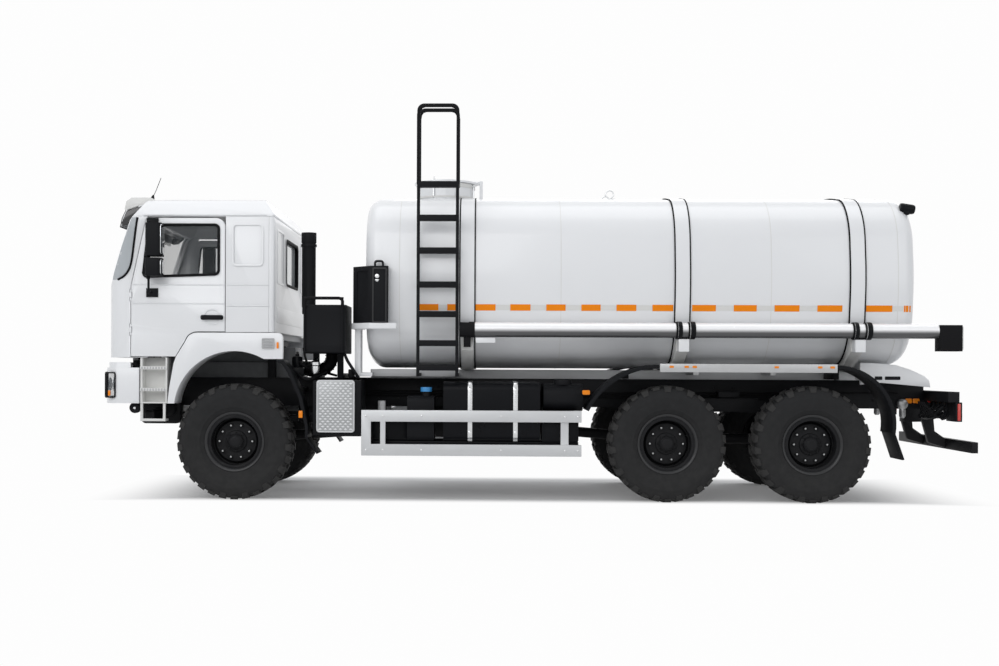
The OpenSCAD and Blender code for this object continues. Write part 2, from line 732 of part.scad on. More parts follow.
// Stations of the tank from front to back: x and how far the section is drawn in
head_n = 6;
tank_stations = concat(
    [for (i = [0:head_n]) let (a = 90 * i / head_n)
        [tank_front + head_r * (1 - sin(a)), head_r * (1 - cos(a))]],
    [for (i = [0:head_n]) let (a = 90 * (1 - i / head_n))
        [tank_back - head_r * (1 - sin(a)), head_r * (1 - cos(a))]]);

module tank() {
    rings = [for (s = [for (i = [0:head_n]) tank_stations[head_n - i],
                       for (i = [0:head_n]) tank_stations[2 * head_n + 1 - i]]) s];
    count = len(tank_section(0));
    points = [for (s = rings) each [for (p = tank_section(-s[1])) [s[0], p[0], p[1]]]];
    last = len(rings) - 1;
    color(white) difference() {
        union() {
            polyhedron(points, concat(
            [[for (i = [0:count - 1]) i]],
            [for (k = [0:last - 1]) for (i = [0:count - 1])
                [k * count + i, (k + 1) * count + i, (k + 1) * count + (i + 1) % count, k * count + (i + 1) % count]],
            [[for (i = [count - 1:-1:0]) last * count + i]]));
            rod_z(neck_x, 0, tank_top - 60, neck_top, neck_d / 2);
        }
        rod_z(neck_x, 0, tank_top - 400, neck_top + 1, neck_d / 2 - 60);
    }
}

neck_x = 2100;
neck_top = 3350;
lid_t = 22;
lid_r = neck_d / 2 + 32;
lid_hinge_x = neck_x + lid_r + 45;
lid_hinge_z = neck_top + 20;

module manhole_lid() {
    color(white) difference() {
        union() {
            rod_z(neck_x, 0, neck_top + seat_gap, neck_top + lid_t, lid_r);
            rod_z(neck_x, 0, neck_top + lid_t - 1, neck_top + lid_t + 16, lid_r - 90);
            block([neck_x + lid_r - 60, -56, neck_top + 6], [lid_hinge_x, 56, neck_top + 34]);
            rod_y(lid_hinge_x, lid_hinge_z, -56, 56, 14);
        }
        rod_y(lid_hinge_x, lid_hinge_z, -70, 70, 8 + pin_gap);
    }
}

bands = [tank_front + 969, axle2 + 80, axle3 + 388];

module tank_bands() {
    color(cream) {
        difference() {
            for (x = bands) front_view(x, x + band_w) difference() {
                polygon(tank_section(band_t));
                polygon(tank_section(seat_gap));
            }
            rod_z(neck_x, 0, tank_mid, neck_top, neck_d / 2 + 2);
        }
        // Hinge post of the manhole lid, on the first band
        difference() {
            union() {
                for (s = sides)
                    block([lid_hinge_x - 18, s * 72 - 10, tank_top - 20], [lid_hinge_x + 18, s * 72 + 10, lid_hinge_z + 16]);
                rod_y(lid_hinge_x, lid_hinge_z, -82, 82, 8);
            }
            front_view(lid_hinge_x - 40, lid_hinge_x + 40) polygon(tank_section(0.5));
        }
    }
}

cradle_w = 120;
cradle_top = 1660;
beam_top = tank_bottom - 14;

module tank_cradles() {
    color(cream) for (x = bands) difference() {
        union() {
            front_view(x + 15, x + 15 + cradle_w) polygon([
                [-1105, cradle_top], [-1105, cradle_top - 130], [-690, beam_top + seat_gap], [690, beam_top + seat_gap],
                [1105, cradle_top - 130], [1105, cradle_top]]);
        }
        front_view(x - 10, x + cradle_w + 40) polygon(tank_section(band_t + 1));
    }
}

module tank_subframe() {
    color(grey) {
        both_sides() block([1320, -half_frame - 20, frame_top + seat_gap], [axle3 + 400, -half_frame + 70, beam_top]);
        for (x = [1340, 2700, axle2 - 300, axle3 - 200])
            block([x, -half_frame + 69, frame_top + 12], [x + 80, half_frame - 69, beam_top - 12]);
    }
}

tube_y = 1195;
tube_z = 1735;
tube_x = [bands[0] + band_w + 3, back_end - 415];
tube_block = [tube_x[1], beam_x];

module hose_tubes() {
    color(steel) both_sides() difference() {
        rod_x(-tube_y, tube_z, tube_x[0], tube_x[1], tube_d / 2);
        rod_x(-tube_y, tube_z, tube_x[0] + 20, tube_x[1] + 1, tube_d / 2 - 5);
    }
}

module hose_clamps() {
    color(black) both_sides() {
        // Rubber rings at the bands, the front cap and the rear end box
        for (x = [for (b = [bands[1], bands[2]]) each [b - 6, b + band_w - 34]]) difference() {
            rod_x(-tube_y, tube_z, x, x + 40, tube_d / 2 + 9);
            rod_x(-tube_y, tube_z, x - 1, x + 41, tube_d / 2 + seat_gap);
        }
        rod_x(-tube_y, tube_z, tube_x[0] - 150, tube_x[0] - 59, tube_d / 2 - 0.3);
        rod_x(-tube_y, tube_z, tube_x[0] - 60, tube_x[0] - seat_gap, tube_d / 2 + 5);
        block([tube_block[0] + seat_gap, -tube_y - tube_d / 2, tube_z - 200],
              [tube_block[1], -tube_y + tube_d / 2, tube_z + 62]);
        for (b = bands)
            block([b + 40, -tube_y - 20, cradle_top - 100], [b + 110, -1105 - seat_gap, tube_z - tube_d / 2 - seat_gap]);
    }
}

// Ladder

ladder_x = [1843, 2268];
ladder_y = [-1245, -1165];
rung_z = [1350, 1597, 1890, 2188, 2531, 2860, 3198];
stile_w = 32;
hoop_top = 4010;

module hoop(y) {
    r = 70;
    inner = stile_w / 2 + 1;
    side_view(y, y + 25) difference() {
        polygon(concat([[ladder_x[0], rung_z[6]]], arc([ladder_x[0] + r, hoop_top - r], r, 180, 90, 6),
                       arc([ladder_x[1] - r, hoop_top - r], r, 90, 0, 6), [[ladder_x[1], rung_z[6]]]));
        polygon(concat([[ladder_x[0] + 25, rung_z[6] - 1]],
                       arc([ladder_x[0] + r, hoop_top - r], r - 25, 180, 90, 6),
                       arc([ladder_x[1] - r, hoop_top - r], r - 25, 90, 0, 6),
                       [[ladder_x[1] - 25, rung_z[6] - 1]]));
    }
}

module ladder() {
    color(black) {
        for (x = [ladder_x[0], ladder_x[1] - stile_w])
            block([x, ladder_y[0], 1290], [x + stile_w, ladder_y[0] + 30, rung_z[6]]);
        for (z = rung_z)
            block([ladder_x[0], ladder_y[0] - 4, z - 30], [ladder_x[1], ladder_y[1], z + 30]);
        hoop(ladder_y[0] + 2);
        hoop(ladder_y[0] + 260);
        for (x = [ladder_x[0], ladder_x[1] - 25])
            block([x, ladder_y[0] + 2, rung_z[6] - 4], [x + 25, ladder_y[0] + 285, rung_z[6] + 20]);
        // Feet on the tank's subframe and stays to the tank
        for (x = [ladder_x[0], ladder_x[1] - stile_w])
            block([x, ladder_y[0], 1262], [x + stile_w, -780 - seat_gap, 1294]);
    }
}

// Equipment at the tank's front

shelf_z = 1800;
box_x = [1185, 1554];

module tank_bracket() {
    leg_x = 1200;
    color(white) {
        // Shelf before the tank's rounded front edge, and the strip beside it
        translate([0, 0, shelf_z - 60]) linear_extrude(60) polygon([
            [1170, -780], [1170, -1040], [1370, -1240], [1640, -1240], [1640, -1152], [1400, -1152],
            [1290, -1062], [1290, -780]]);
        for (y = [-1000, -830])
            block([leg_x, y, frame_top + 20], [leg_x + 60, y + 50, shelf_z - 59]);
        // Skirt under the tank's front end
        block([leg_x, -1000, frame_top + 20], [leg_x + 180, -half_frame - 20 - seat_gap, frame_top + 60]);
        block([1345, -780, frame_top + 20], [2270, -740, beam_top - 1]);
        block([1345, -780, frame_top + 20], [2270, -half_frame - 20 - seat_gap, frame_top + 50]);
    }
}

module extinguisher_box() {
    top = 2375;
    color(black) {
        difference() {
            translate([0, 0, shelf_z + seat_gap]) linear_extrude(top - shelf_z) polygon([
                [1185, -900], [1185, -1040], [1385, -1240], [1554, -1240], [1554, -1152], [1400, -1152],
                [1290, -1062], [1290, -900]]);
            // Window in the slanted door
            translate([1285, -1140, 0]) rotate([0, 0, -45])
                block([-85, -20, shelf_z + 140], [85, 12, top - 50]);
        }
        side_view(-1210, -1175) difference() {
            polygon(round_rect([1410, top - 20], [1510, top + 60], 30));
            polygon(round_rect([1430, top - 5], [1490, top + 40], 14));
        }
    }
}

// Cab shell

back_r = 50;
corner_r = 170;
door_front = -1045;
door_back = -94;
side_bottom = 1700;
door_bottom = 1452;
windscreen_t = 12;
front_skin = 12;

// Cab side view, drawn in by d
function cab_side_view(d) = [
    [-cab_front_x + d, cab_bottom - 20 + (d > 0 ? -40 : 0)], [-cab_front_x + d, belt_z],
    [-cab_front_x + 26 + d, belt_z + 40], [-1062 + d * 1.05, roof_line - 40], [-930 + d, roof_top - 30 - d],
    [-850 + d, roof_top - d], [285 - d / 2, roof_top - d], [cab_back_x - 12 - d, roof_line + 30 - d / 2],
    [cab_back_x - d, roof_line - 60], [cab_back_x - d, cab_bottom - 20 + (d > 0 ? -40 : 0)]];

function cab_plan(d) = concat(
    arc([-cab_front_x + corner_r, -half_cab + corner_r], corner_r - d, 270, 180, 8),
    arc([-cab_front_x + corner_r, half_cab - corner_r], corner_r - d, 180, 90, 8),
    arc([cab_back_x - back_r - d / 4, half_cab - back_r - d], back_r - d / 4, 90, 0, 4),
    arc([cab_back_x - back_r - d / 4, -half_cab + back_r + d], back_r - d / 4, 0, -90, 4));

function cab_front_view(d) = [
    [-half_cab + d, cab_bottom - 80], [-half_cab + d, roof_line + 10], [-half_cab + 130 + d, roof_top - 20 - d],
    [-half_cab + 220 + d, roof_top + 1 - d], [half_cab - 220 - d, roof_top + 1 - d],
    [half_cab - 130 - d, roof_top - 20 - d], [half_cab - d, roof_line + 10], [half_cab - d, cab_bottom - 80]];

module cab_solid(d) {
    intersection() {
        side_view(-half_cab, half_cab) polygon(cab_side_view(d));
        translate([0, 0, 1300]) linear_extrude(2000) polygon(cab_plan(d));
        front_view(-1400, 600) polygon(cab_front_view(d));
    }
}

// Door outline, grown by d
function door_outline(d) = concat(
    [[door_front - d, belt_z], [door_front - d, door_bottom - d], [-597 + d / 2, door_bottom - d]],
    [[-500 + d / 2, 1612 - d]],
    arc([-372, side_bottom - 140 - d + 6], 140, 140, 90, 5),
    [[door_back + d, side_bottom + 6 - d]],
    arc([door_back - 90, roof_line - 106], 90 + d, 0, 90, 6),
    arc([-853, roof_line - 66], 50 + d, 90, 168, 4));

// Window in the door
function door_window(d) = concat(
    arc([-200 - d * 0, 2345 - 20], 40 - d, 280, 360, 4),
    arc([-200, 2740], 40 - d, 0, 90, 4),
    arc([-830, 2740], 40 - d, 90, 168, 4),
    arc([-880, 2320 - 20], 40 - d, 190, 265, 4));

module door_prism(s, d, y_in = 0) {
    side_view(s < 0 ? -half_cab - 10 : half_cab - wall - 1 - y_in, s < 0 ? -half_cab + wall + 1 + y_in : half_cab + 10)
        polygon(door_outline(d));
}

hinge_z = [1690, 2040];
hinge_h = 60;
hinge_x = door_front - door_gap / 2;
hinge_r = 9;
hinge_pin_r = 5;
hinge_clear = 6;
hinge_end = 26;

// The door's two barrels at each hinge, above and below the cab's own
module door_barrels(s, r, grow) {
    for (z = hinge_z) for (z0 = [z - hinge_end, z + hinge_h])
        rod_z(hinge_x, s * half_cab, z0 - grow, z0 + hinge_end + grow, r);
}

module door(s) {
    color(white) difference() {
        union() {
            difference() {
                intersection() {
                    cab_solid(0);
                    door_prism(s, 0);
                }
                cab_solid(wall);
                side_view(-half_cab - 20, half_cab + 20) polygon(door_window(0));
                for (z = hinge_z)
                    rod_z(hinge_x, s * half_cab, z, z + hinge_h, hinge_r + hinge_clear);
            }
            door_barrels(s, hinge_r, 0);
        }
        door_barrels(s, hinge_pin_r + pin_gap, 1);
    }
    // Door handle
    color(black) block([-330, s < 0 ? -half_cab - 22 : half_cab - 1, 1830],
                       [-110, s < 0 ? -half_cab + 1 : half_cab + 22, 1865]);
}

module door_glass(s) {
    color([0.35, 0.4, 0.45, 0.5])
        side_view(s < 0 ? -half_cab + 24 : half_cab - 30, s < 0 ? -half_cab + 30 : half_cab - 24)
            polygon(door_window(seat_gap));
}

module door_mirror(s) {
    y = s * (half_cab + 120);
    color(black) {
        front = -880;
        // Large and small mirror heads, their arm and its two feet on the door
        translate([0, y, 0]) {
            translate([0, 0, 2455]) linear_extrude(330) polygon(round_rect([front + 20, -95], [front + 180, 95], 40));
            translate([0, 0, 2255]) linear_extrude(180) polygon(round_rect([front + 15, -90], [front + 178, 90], 40));
        }
        rod_z(front + 40, y, 2090, 2800, 12);
        rod_y(front + 40, 2790, s < 0 ? y : half_cab + 5, s < 0 ? -half_cab - 5 : y, 12);
        rod_y(front + 40, 2100, s < 0 ? y : half_cab + 5, s < 0 ? -half_cab - 5 : y, 12);
        for (z = [2050, 2760])
            block([front - 10, s < 0 ? -half_cab - 16 : half_cab + seat_gap, z], [front + 110, s < 0 ? -half_cab - seat_gap : half_cab + 16, z + 90]);
    }
}

module door_holes(d) { for (s = sides) door_prism(s, d); }

module cab_front() {
    color(white) {
        difference() {
            intersection() {
                cab_solid(0);
                block([-1400, -1300, 1300], [door_front + 160, 1300, roof_line]);
            }
            cab_solid(wall);
            door_holes(door_gap);
            for (s = sides) door_barrels(s, hinge_r + hinge_clear, hinge_clear);
            // Pockets behind the skin for the tilt hinge
            for (s = sides)
                block([-cab_front_x + front_skin, s * tilt_y - 48, 1300], [tilt_x + 60, s * tilt_y + 48, floor_z + 4]);
            // Windscreen opening
            block([-1400, -half_cab + 110, belt_z + 50], [door_front + 200, half_cab - 110, roof_line + 1]);
        }
        // Door hinge barrels and pins
        for (s = sides) for (z = hinge_z) {
            rod_z(hinge_x, s * half_cab, z + hinge_clear, z + hinge_h - hinge_clear, hinge_r);
            rod_z(hinge_x, s * half_cab, z - hinge_end + 4, z + hinge_h + hinge_end - 4, hinge_pin_r);
        }
    }
}

module cab_roof() {
    color(white) difference() {
        cab_solid(0);
        cab_solid(wall);
        block([-1400, -1300, 1200], [600, 1300, roof_line + seat_gap]);
    }
}

module cab_rear() {
    color(white) difference() {
        intersection() {
            cab_solid(0);
            block([cab_back_x - wall, -1300, side_bottom], [600, 1300, roof_line]);
        }
        rear_window_cut(0);
    }
}

module rear_window_cut(d) {
    front_view(cab_back_x - wall - 10, cab_back_x + 10) polygon(round_rect([-430 + d, 2230 + d], [430 - d, 2700 - d], 50 - d));
}

module cab_sides() {
    color(white) difference() {
        intersection() {
            cab_solid(0);
            block([door_front, -1300, side_bottom], [cab_back_x - wall - seat_gap, 1300, roof_line]);
        }
        block([-1400, -half_cab + wall, 1300], [600, half_cab - wall, 3100]);
        door_holes(door_gap);
        block([-1400, -1300, 1300], [door_back + door_gap - 0.01, 1300, roof_line + 1]);
    }
}

module cab_floor() {
    color(grey) {
        intersection() {
            block([-cab_front_x + wall + seat_gap, -half_cab + wall + 8, floor_z],
                  [cab_back_x - wall - seat_gap, half_cab - wall - 8, floor_z + 58]);
            translate([0, 0, floor_z - 1]) linear_extrude(60) polygon(cab_plan(wall + seat_gap));
        }
        // Tilt hinge ears with their pins
        for (s = sides) {
            for (d = [-40, 26])
                block([tilt_x - 16, s * tilt_y + d, tilt_z - 16], [tilt_x + 40, s * tilt_y + d + 14, floor_z + 1]);
            rod_y(tilt_x, tilt_z, s * tilt_y - 40, s * tilt_y + 40, tilt_pin_r);
        }
        block([cab_back_x - wall - 90, -half_cab + wall + 8, floor_z + 57],
              [cab_back_x - wall - seat_gap, half_cab - wall - 8, side_bottom + 60]);
    }
}

module cab_glass() {
    color([0.35, 0.4, 0.45, 0.5]) {
        difference() {
            intersection() {
                cab_solid(18);
                block([-1400, -half_cab + 110 + seat_gap, belt_z + 50 + seat_gap], [-900, half_cab - 110 - seat_gap, roof_line - seat_gap]);
            }
            cab_solid(18 + windscreen_t);
        }
        intersection() {
            block([cab_back_x - 40, -500, 2200], [cab_back_x - 32, 500, 2750]);
            rear_window_cut(seat_gap);
        }
    }
}

// Cab fenders and steps, which tilt with the cab

arch_r = 610;
arch_z = 900;
fender_bottom = 976;
fender_end = 1430;

module cab_fenders() {
    a0 = asin((fender_bottom - arch_z) / arch_r);
    a1 = asin((fender_end - arch_z) / arch_r);
    outline = concat(
        [[-673, fender_bottom], [-655, 1140], [-612, 1383], [-592, door_bottom - door_gap - 2], [-492, 1607]],
        arc([-372, side_bottom - 134], 128, 140, 90, 5),
        arc([440, side_bottom - 60], 54, 90, 0, 4), [[494, fender_end]],
        arc([0, arch_z], arch_r, a1, 180 - a0, 16));
    color(white) both_sides() {
        side_view(-half_cab, -half_cab + wall) polygon(outline);
        // Arch liner
        side_view(-half_cab + wall - 1, -kingpin_y - 130) polygon(concat(
            arc([0, arch_z], arch_r + 22, a1, 180 - a0, 16), arc([0, arch_z], arch_r, 180 - a0, a1, 16)));
        block([-60, -half_cab + wall - 1, arch_z + arch_r + 20], [60, -half_cab + wall + 80, floor_z - seat_gap]);
    }
}

step_x = [-955, -682];
step_in = 1060;
step_out = 1225;
treads = [1105, 1325];

module cab_steps() {
    color(cream) both_sides() {
        difference() {
            block([step_x[0], -step_out, fender_bottom], [step_x[1], -step_in, 1440]);
            for (p = [[fender_bottom + 14, treads[0]], [treads[0] + 26, treads[1]], [treads[1] + 26, 1450]])
                block([step_x[0] + 22, -step_out - 1, p[0]], [step_x[1] - 16, -step_in - 30, p[1]]);
        }
        for (t = treads) block([step_x[0], -step_out - 12, t - 6], [step_x[1], -step_out + 1, t + 26]);
        // Hanging bottom step
        side_view(-1215, -1190) difference() {
            polygon(round_rect([-955, 795], [-700, fender_bottom + 6], 14));
            polygon(round_rect([-930, 820], [-725, fender_bottom + 20], 4));
        }
        block([-955, -1215, 795], [-700, -1080, 818]);
        block([-860, -step_in - 1, 1380], [-800, -step_in + 90, 1440]);
        block([-860, -step_in + 40, 1380], [-800, -step_in + 90, floor_z - seat_gap]);
    }
}

module visor() {
    // Contact line on the cab's front slope, then the shell standing off it
    foot = [[-930.4, roof_top - 29.7], [-989.8, roof_line + 71.4]];
    color(white) side_view(-1090, 1090) difference() {
        polygon([[-1205, roof_top - 285], [-1185, roof_top - 195], [-1130, roof_top - 75], [-1095, roof_top - 55],
                 [-935, roof_top - 18], foot[0], foot[1], [-1070, roof_line - 20], [-1090, roof_line - 10]]);
        polygon([[-1195, roof_top - 290], [-1172, roof_top - 200], [-1118, roof_top - 88], [-1020, roof_top - 66],
                 [-1004, roof_line + 80], [-1074, roof_line - 20], [-1092, roof_line - 12]]);
    }
}

seat_y = 620;

module cab_interior() {
    color("#4a4d52") {
        for (s = sides) {
            // Seat base, cushion, back and headrest
            block([-560, s * seat_y - 180, floor_z + 58.3], [-160, s * seat_y + 180, 1900]);
            side_view(s * seat_y - 250, s * seat_y + 250) {
                polygon(round_rect([-640, 1890], [-90, 2040], 50));
                polygon([[-160, 2030], [20, 2620], [-70, 2640], [-230, 2060]]);
            }
            side_view(s * seat_y - 140, s * seat_y + 140) polygon(round_rect([-60, 2595], [50, 2790], 40));
        }
        // Dashboard, steering column and wheel
        side_view(-1060, 1060) polygon([
            [-1222, 1900], [-1222, 2140], [-1190, 2180], [-1150, 2205], [-960, 2200], [-900, 2080],
            [-940, 1960], [-1080, 1900]]);
        for (s = sides) block([-1225, s * 1000 - 60, floor_z + 58.3], [-1130, s * 1000 + 60, 1905]);
        translate([-900, -seat_y, 2120]) rotate([0, -50, 0]) {
            cylinder(r = 32, h = 190);
            translate([0, 0, 180]) rotate_extrude($fn = 48) translate([215, 0]) circle(r = 15, $fn = 16);
            for (a = [0, 120, 240]) rotate(a) translate([0, -16, 172]) cube([216, 32, 16]);
        }
    }
}

// What is drawn

place() frame();
place() engine();
place() driveline();
place() front_axle();
place() rear_axles();
place() leaf_springs();
place() bumper();
place() lamps();
place() fuel_tank();
place() service_tanks();
place() battery_box();
place() side_guards();
place() mudguards();
place() walkway_plates();
place() air_intake();
place() silencer();
place() air_tanks();
place() rear_beam();
place() tail_fairing();
place() tank_subframe();
place() tank();
place() tank_bands();
place() tank_cradles();
place() hose_tubes();
place() hose_clamps();
place() ladder();
place() tank_bracket();
place() extinguisher_box();
place() manhole_lid();
place() cab_floor();
place() cab_front();
place() cab_roof();
place() cab_rear();
place() cab_sides();
place() cab_glass();
place() cab_fenders();
place() cab_steps();
place() visor();
place() cab_interior();
place() door(-1);  // door_left
place() door_glass(-1);  // door_glass_left
place() door_mirror(-1);  // mirror_left
place() door(1);  // door_right
place() door_glass(1);  // door_glass_right
place() door_mirror(1);  // mirror_right
place() knuckle(-1);  // knuckle_left
place() knuckle(1);  // knuckle_right
place() tie_rod();
place() tyre(axles[0], -1);  // tyre_front_left
place() tyre(axles[0], 1);  // tyre_front_right
place() tyre(axles[1], -1);  // tyre_mid_left
place() tyre(axles[1], 1);  // tyre_mid_right
place() tyre(axles[2], -1);  // tyre_rear_left
place() tyre(axles[2], 1);  // tyre_rear_right
place() rim(axles[0], -1);  // rim_front_left
place() rim(axles[0], 1);  // rim_front_right
place() rim(axles[1], -1);  // rim_mid_left
place() rim(axles[1], 1);  // rim_mid_right
place() rim(axles[2], -1);  // rim_rear_left
place() rim(axles[2], 1);  // rim_rear_right
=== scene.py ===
"""Looks of a six-wheel-drive tanker truck: materials, tread, glass, seals, lamps and small fittings.
Metres, in the frame of the solids: +X to the rear, -Y to the driver's side, +Z up.
Stations are millimetres behind the front axle."""
from math import atan2, copysign, cos, exp, pi, radians, sin

import bmesh
import bpy
from mathutils import Matrix, Vector
from mathutils.bvhtree import BVHTree


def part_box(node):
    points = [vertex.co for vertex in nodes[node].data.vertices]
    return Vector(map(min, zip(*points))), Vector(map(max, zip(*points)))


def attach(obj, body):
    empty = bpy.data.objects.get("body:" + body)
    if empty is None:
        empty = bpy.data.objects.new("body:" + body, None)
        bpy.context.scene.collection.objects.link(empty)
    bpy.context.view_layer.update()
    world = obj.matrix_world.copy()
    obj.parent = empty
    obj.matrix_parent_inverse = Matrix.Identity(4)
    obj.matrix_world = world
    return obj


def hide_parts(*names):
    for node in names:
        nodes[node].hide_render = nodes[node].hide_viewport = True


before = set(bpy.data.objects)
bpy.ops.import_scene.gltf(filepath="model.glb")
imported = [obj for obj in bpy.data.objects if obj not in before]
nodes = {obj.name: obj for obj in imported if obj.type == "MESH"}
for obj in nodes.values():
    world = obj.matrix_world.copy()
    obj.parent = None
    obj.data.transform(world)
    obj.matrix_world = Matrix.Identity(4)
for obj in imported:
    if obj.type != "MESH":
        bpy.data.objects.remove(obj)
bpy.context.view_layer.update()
scene = bpy.context.scene

# Places taken from the solids

SIDES = (-1, 1)
SIDE_NAMES = {-1: "left", 1: "right"}
AXLE_NAMES = ("front", "mid", "rear")


def centre(node):
    low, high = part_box(node)
    return (low + high) / 2


FRONT_AXLE = centre("tyre_front_left").x
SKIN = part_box("cab_front")[1].y  # half the cab's width


def at(station):
    """X of a station."""
    return FRONT_AXLE + station / 1000


# Camera at the photograph's angle

IMAGE_W = 999
FOCAL_PX = 1337.3
SENSOR_MM = 36
CAMERA_PLACE = (FRONT_AXLE + 2.5191, -14.6932, 1.3555)
CAMERA_TURN = (90, -0.254, 1.387)
camera_data = bpy.data.cameras.new("camera")
camera_data.sensor_width = SENSOR_MM
camera_data.lens = FOCAL_PX * SENSOR_MM / IMAGE_W
camera_data.shift_x = 0.0486
camera_data.shift_y = 0.0342
camera = bpy.data.objects.new("camera", camera_data)
camera.location = CAMERA_PLACE
camera.rotation_euler = [radians(a) for a in CAMERA_TURN]
scene.collection.objects.link(camera)
scene.camera = camera

# Light, floor and backdrop

scene.view_settings.view_transform = "Standard"


def area_light(name, place, target, size, power):
    data = bpy.data.lights.new(name, "AREA")
    data.shape = "RECTANGLE"
    data.size, data.size_y = size
    data.energy = power
    lamp = bpy.data.objects.new(name, data)
    lamp.location = place
    lamp.rotation_euler = (Vector(target) - Vector(place)).to_track_quat("-Z", "Y").to_euler()
    scene.collection.objects.link(lamp)


area_light("key", (-7, -13, 8), (-1, 0, 1.6), (14, 8), 745)
area_light("top", (0, 0, 13), (0, 0, 0), (16, 8), 570)
area_light("fill", (9, -9, 5), (0, 0, 1.2), (8, 6), 130)
area_light("back", (4, 12, 8), (0, 0, 1.5), (14, 6), 260)


def feed(tree, node, inputs):
    """Gives each named input its constant, or links it to the socket it comes from."""
    for key, value in inputs.items():
        if isinstance(value, bpy.types.NodeSocket):
            tree.links.new(value, node.inputs[key])
        else:
            node.inputs[key].default_value = value


def add(tree, kind, inputs=None, **settings):
    """New node in a tree, with its settings and inputs; gives its outputs."""
    made = tree.nodes.new(kind)
    for key, value in settings.items():
        setattr(made, key, value)
    feed(tree, made, inputs or {})
    return made.outputs


def seen_rays(tree):
    """1 for rays from the camera, in reflections and through glass, 0 for the rest."""
    path = add(tree, "ShaderNodeLightPath")
    found = path["Is Camera Ray"]
    for kind in ("Is Glossy Ray", "Is Transmission Ray"):
        found = add(tree, "ShaderNodeMath", {0: found, 1: path[kind]}, operation="MAXIMUM")[0]
    return found


def see_white(tree, kind, share, lit, output):
    """Plain white for a share of the rays, the lit shader for the rest."""
    plain = add(tree, kind, {"Color": (0.985, 0.985, 0.985, 1)})
    mix = add(tree, "ShaderNodeMixShader", {0: share, 1: lit.outputs[0], 2: plain[0]})
    feed(tree, tree.nodes[output], {"Surface": mix[0]})


world = bpy.data.worlds.new("studio")
scene.world = world
world.use_nodes = True
sky = world.node_tree
background = sky.nodes["Background"]
feed(sky, background, {"Color": (0.93, 0.95, 1.0, 1), "Strength": 0.48})
see_white(sky, "ShaderNodeBackground", seen_rays(sky), background, "World Output")


def blank(name):
    """New material with its node tree and its shader."""
    made = bpy.data.materials.new(name)
    made.use_nodes = True
    return made, made.node_tree, made.node_tree.nodes["Principled BSDF"]


FLOOR_HALF = 60
SHADOW_MIDDLE = (0.0, 0.28, 0.0)
SHADOW_HALF = (4.7, 1.65)
SHADOW_WHITE = 0.11  # share of plain white inside the shadow
floor_mesh = bpy.data.meshes.new("floor")
floor_mesh.from_pydata(
    [(x * FLOOR_HALF, y * FLOOR_HALF, 0) for x, y in ((-1, -1), (1, -1), (1, 1), (-1, 1))], [], [(0, 1, 2, 3)])
floor = bpy.data.objects.new("floor", floor_mesh)
scene.collection.objects.link(floor)
floor_paint, tree, floor_shader = blank("floor_white")
feed(tree, floor_shader, {"Base Color": (0.80, 0.80, 0.80, 1), "Roughness": 0.9})
spot = add(tree, "ShaderNodeNewGeometry")["Position"]
for step, second in (("SUBTRACT", SHADOW_MIDDLE), ("DIVIDE", (*SHADOW_HALF, 1)), ("ABSOLUTE", (0, 0, 0))):
    spot = add(tree, "ShaderNodeVectorMath", {0: spot, 1: second}, operation=step)[0]
away = add(tree, "ShaderNodeSeparateXYZ", {0: spot})
farther = add(tree, "ShaderNodeMath", {0: away["X"], 1: away["Y"]}, operation="MAXIMUM")
fade = add(tree, "ShaderNodeMapRange",
           {"Value": farther[0], "From Min": 0.70, "From Max": 1.0, "To Min": SHADOW_WHITE},
           interpolation_type="SMOOTHSTEP")
seen = add(tree, "ShaderNodeMath", {0: fade[0], 1: seen_rays(tree)}, operation="MULTIPLY")
see_white(tree, "ShaderNodeEmission", seen[0], floor_shader, "Material Output")
floor_mesh.materials.append(floor_paint)

# Materials

DUST = (0.30, 0.28, 0.25)
DUST_TOP, DUST_FULL = 1.3, 0.1  # heights between which dust thickens downwards


def blend(tree, share, first, second):
    """Mix of two colours, each given as numbers or as a socket."""
    first, second = (c if isinstance(c, bpy.types.NodeSocket) else (*c, 1) for c in (first, second))
    return add(tree, "ShaderNodeMix", {0: share, 6: first, 7: second}, data_type="RGBA")[2]


def emboss(tree, height, strength, depth):
    """Raises the surface by a height socket."""
    relief = add(tree, "ShaderNodeBump", {"Height": height, "Strength": strength, "Distance": depth})
    feed(tree, tree.nodes["Principled BSDF"], {"Normal": relief["Normal"]})


def material(name, base, rough, metal=0.0, vary=0.08, scale=6.0, bump=0.0, bump_scale=300.0, coat=0.0,
             dust=0.0, rough_vary=0.08, shine=0.5):
    """A finish whose tone and gloss drift a little over the surface, with an optional fine grain
    and dust that gathers towards the ground."""
    made, tree, shader = blank(name)
    place = add(tree, "ShaderNodeTexCoord")["Object"]
    noise = add(tree, "ShaderNodeTexNoise", {"Vector": place, "Scale": scale, "Detail": 6})["Fac"]
    colour = blend(tree, noise, [c * (1 - vary) for c in base], [min(1, c * (1 + vary)) for c in base])
    if dust:
        height = add(tree, "ShaderNodeSeparateXYZ", {0: place})["Z"]
        low = add(tree, "ShaderNodeMapRange",
                  {"Value": height, "From Min": DUST_TOP, "From Max": DUST_FULL, "To Max": dust})
        patch = add(tree, "ShaderNodeMath", {0: low[0], 1: noise}, operation="MULTIPLY")
        colour = blend(tree, patch[0], colour, DUST)
    gloss = add(tree, "ShaderNodeMapRange", {"Value": noise, "To Min": max(0.02, rough - rough_vary),
                                             "To Max": min(1.0, rough + rough_vary)})
    feed(tree, shader, {"Base Color": colour, "Roughness": gloss[0], "Metallic": metal,
                        "Specular IOR Level": shine, "Coat Weight": coat, "Coat Roughness": 0.08})
    if bump:
        grain = add(tree, "ShaderNodeTexNoise", {"Vector": place, "Scale": bump_scale, "Detail": 3})
        emboss(tree, grain["Fac"], bump, 0.002)
    return made


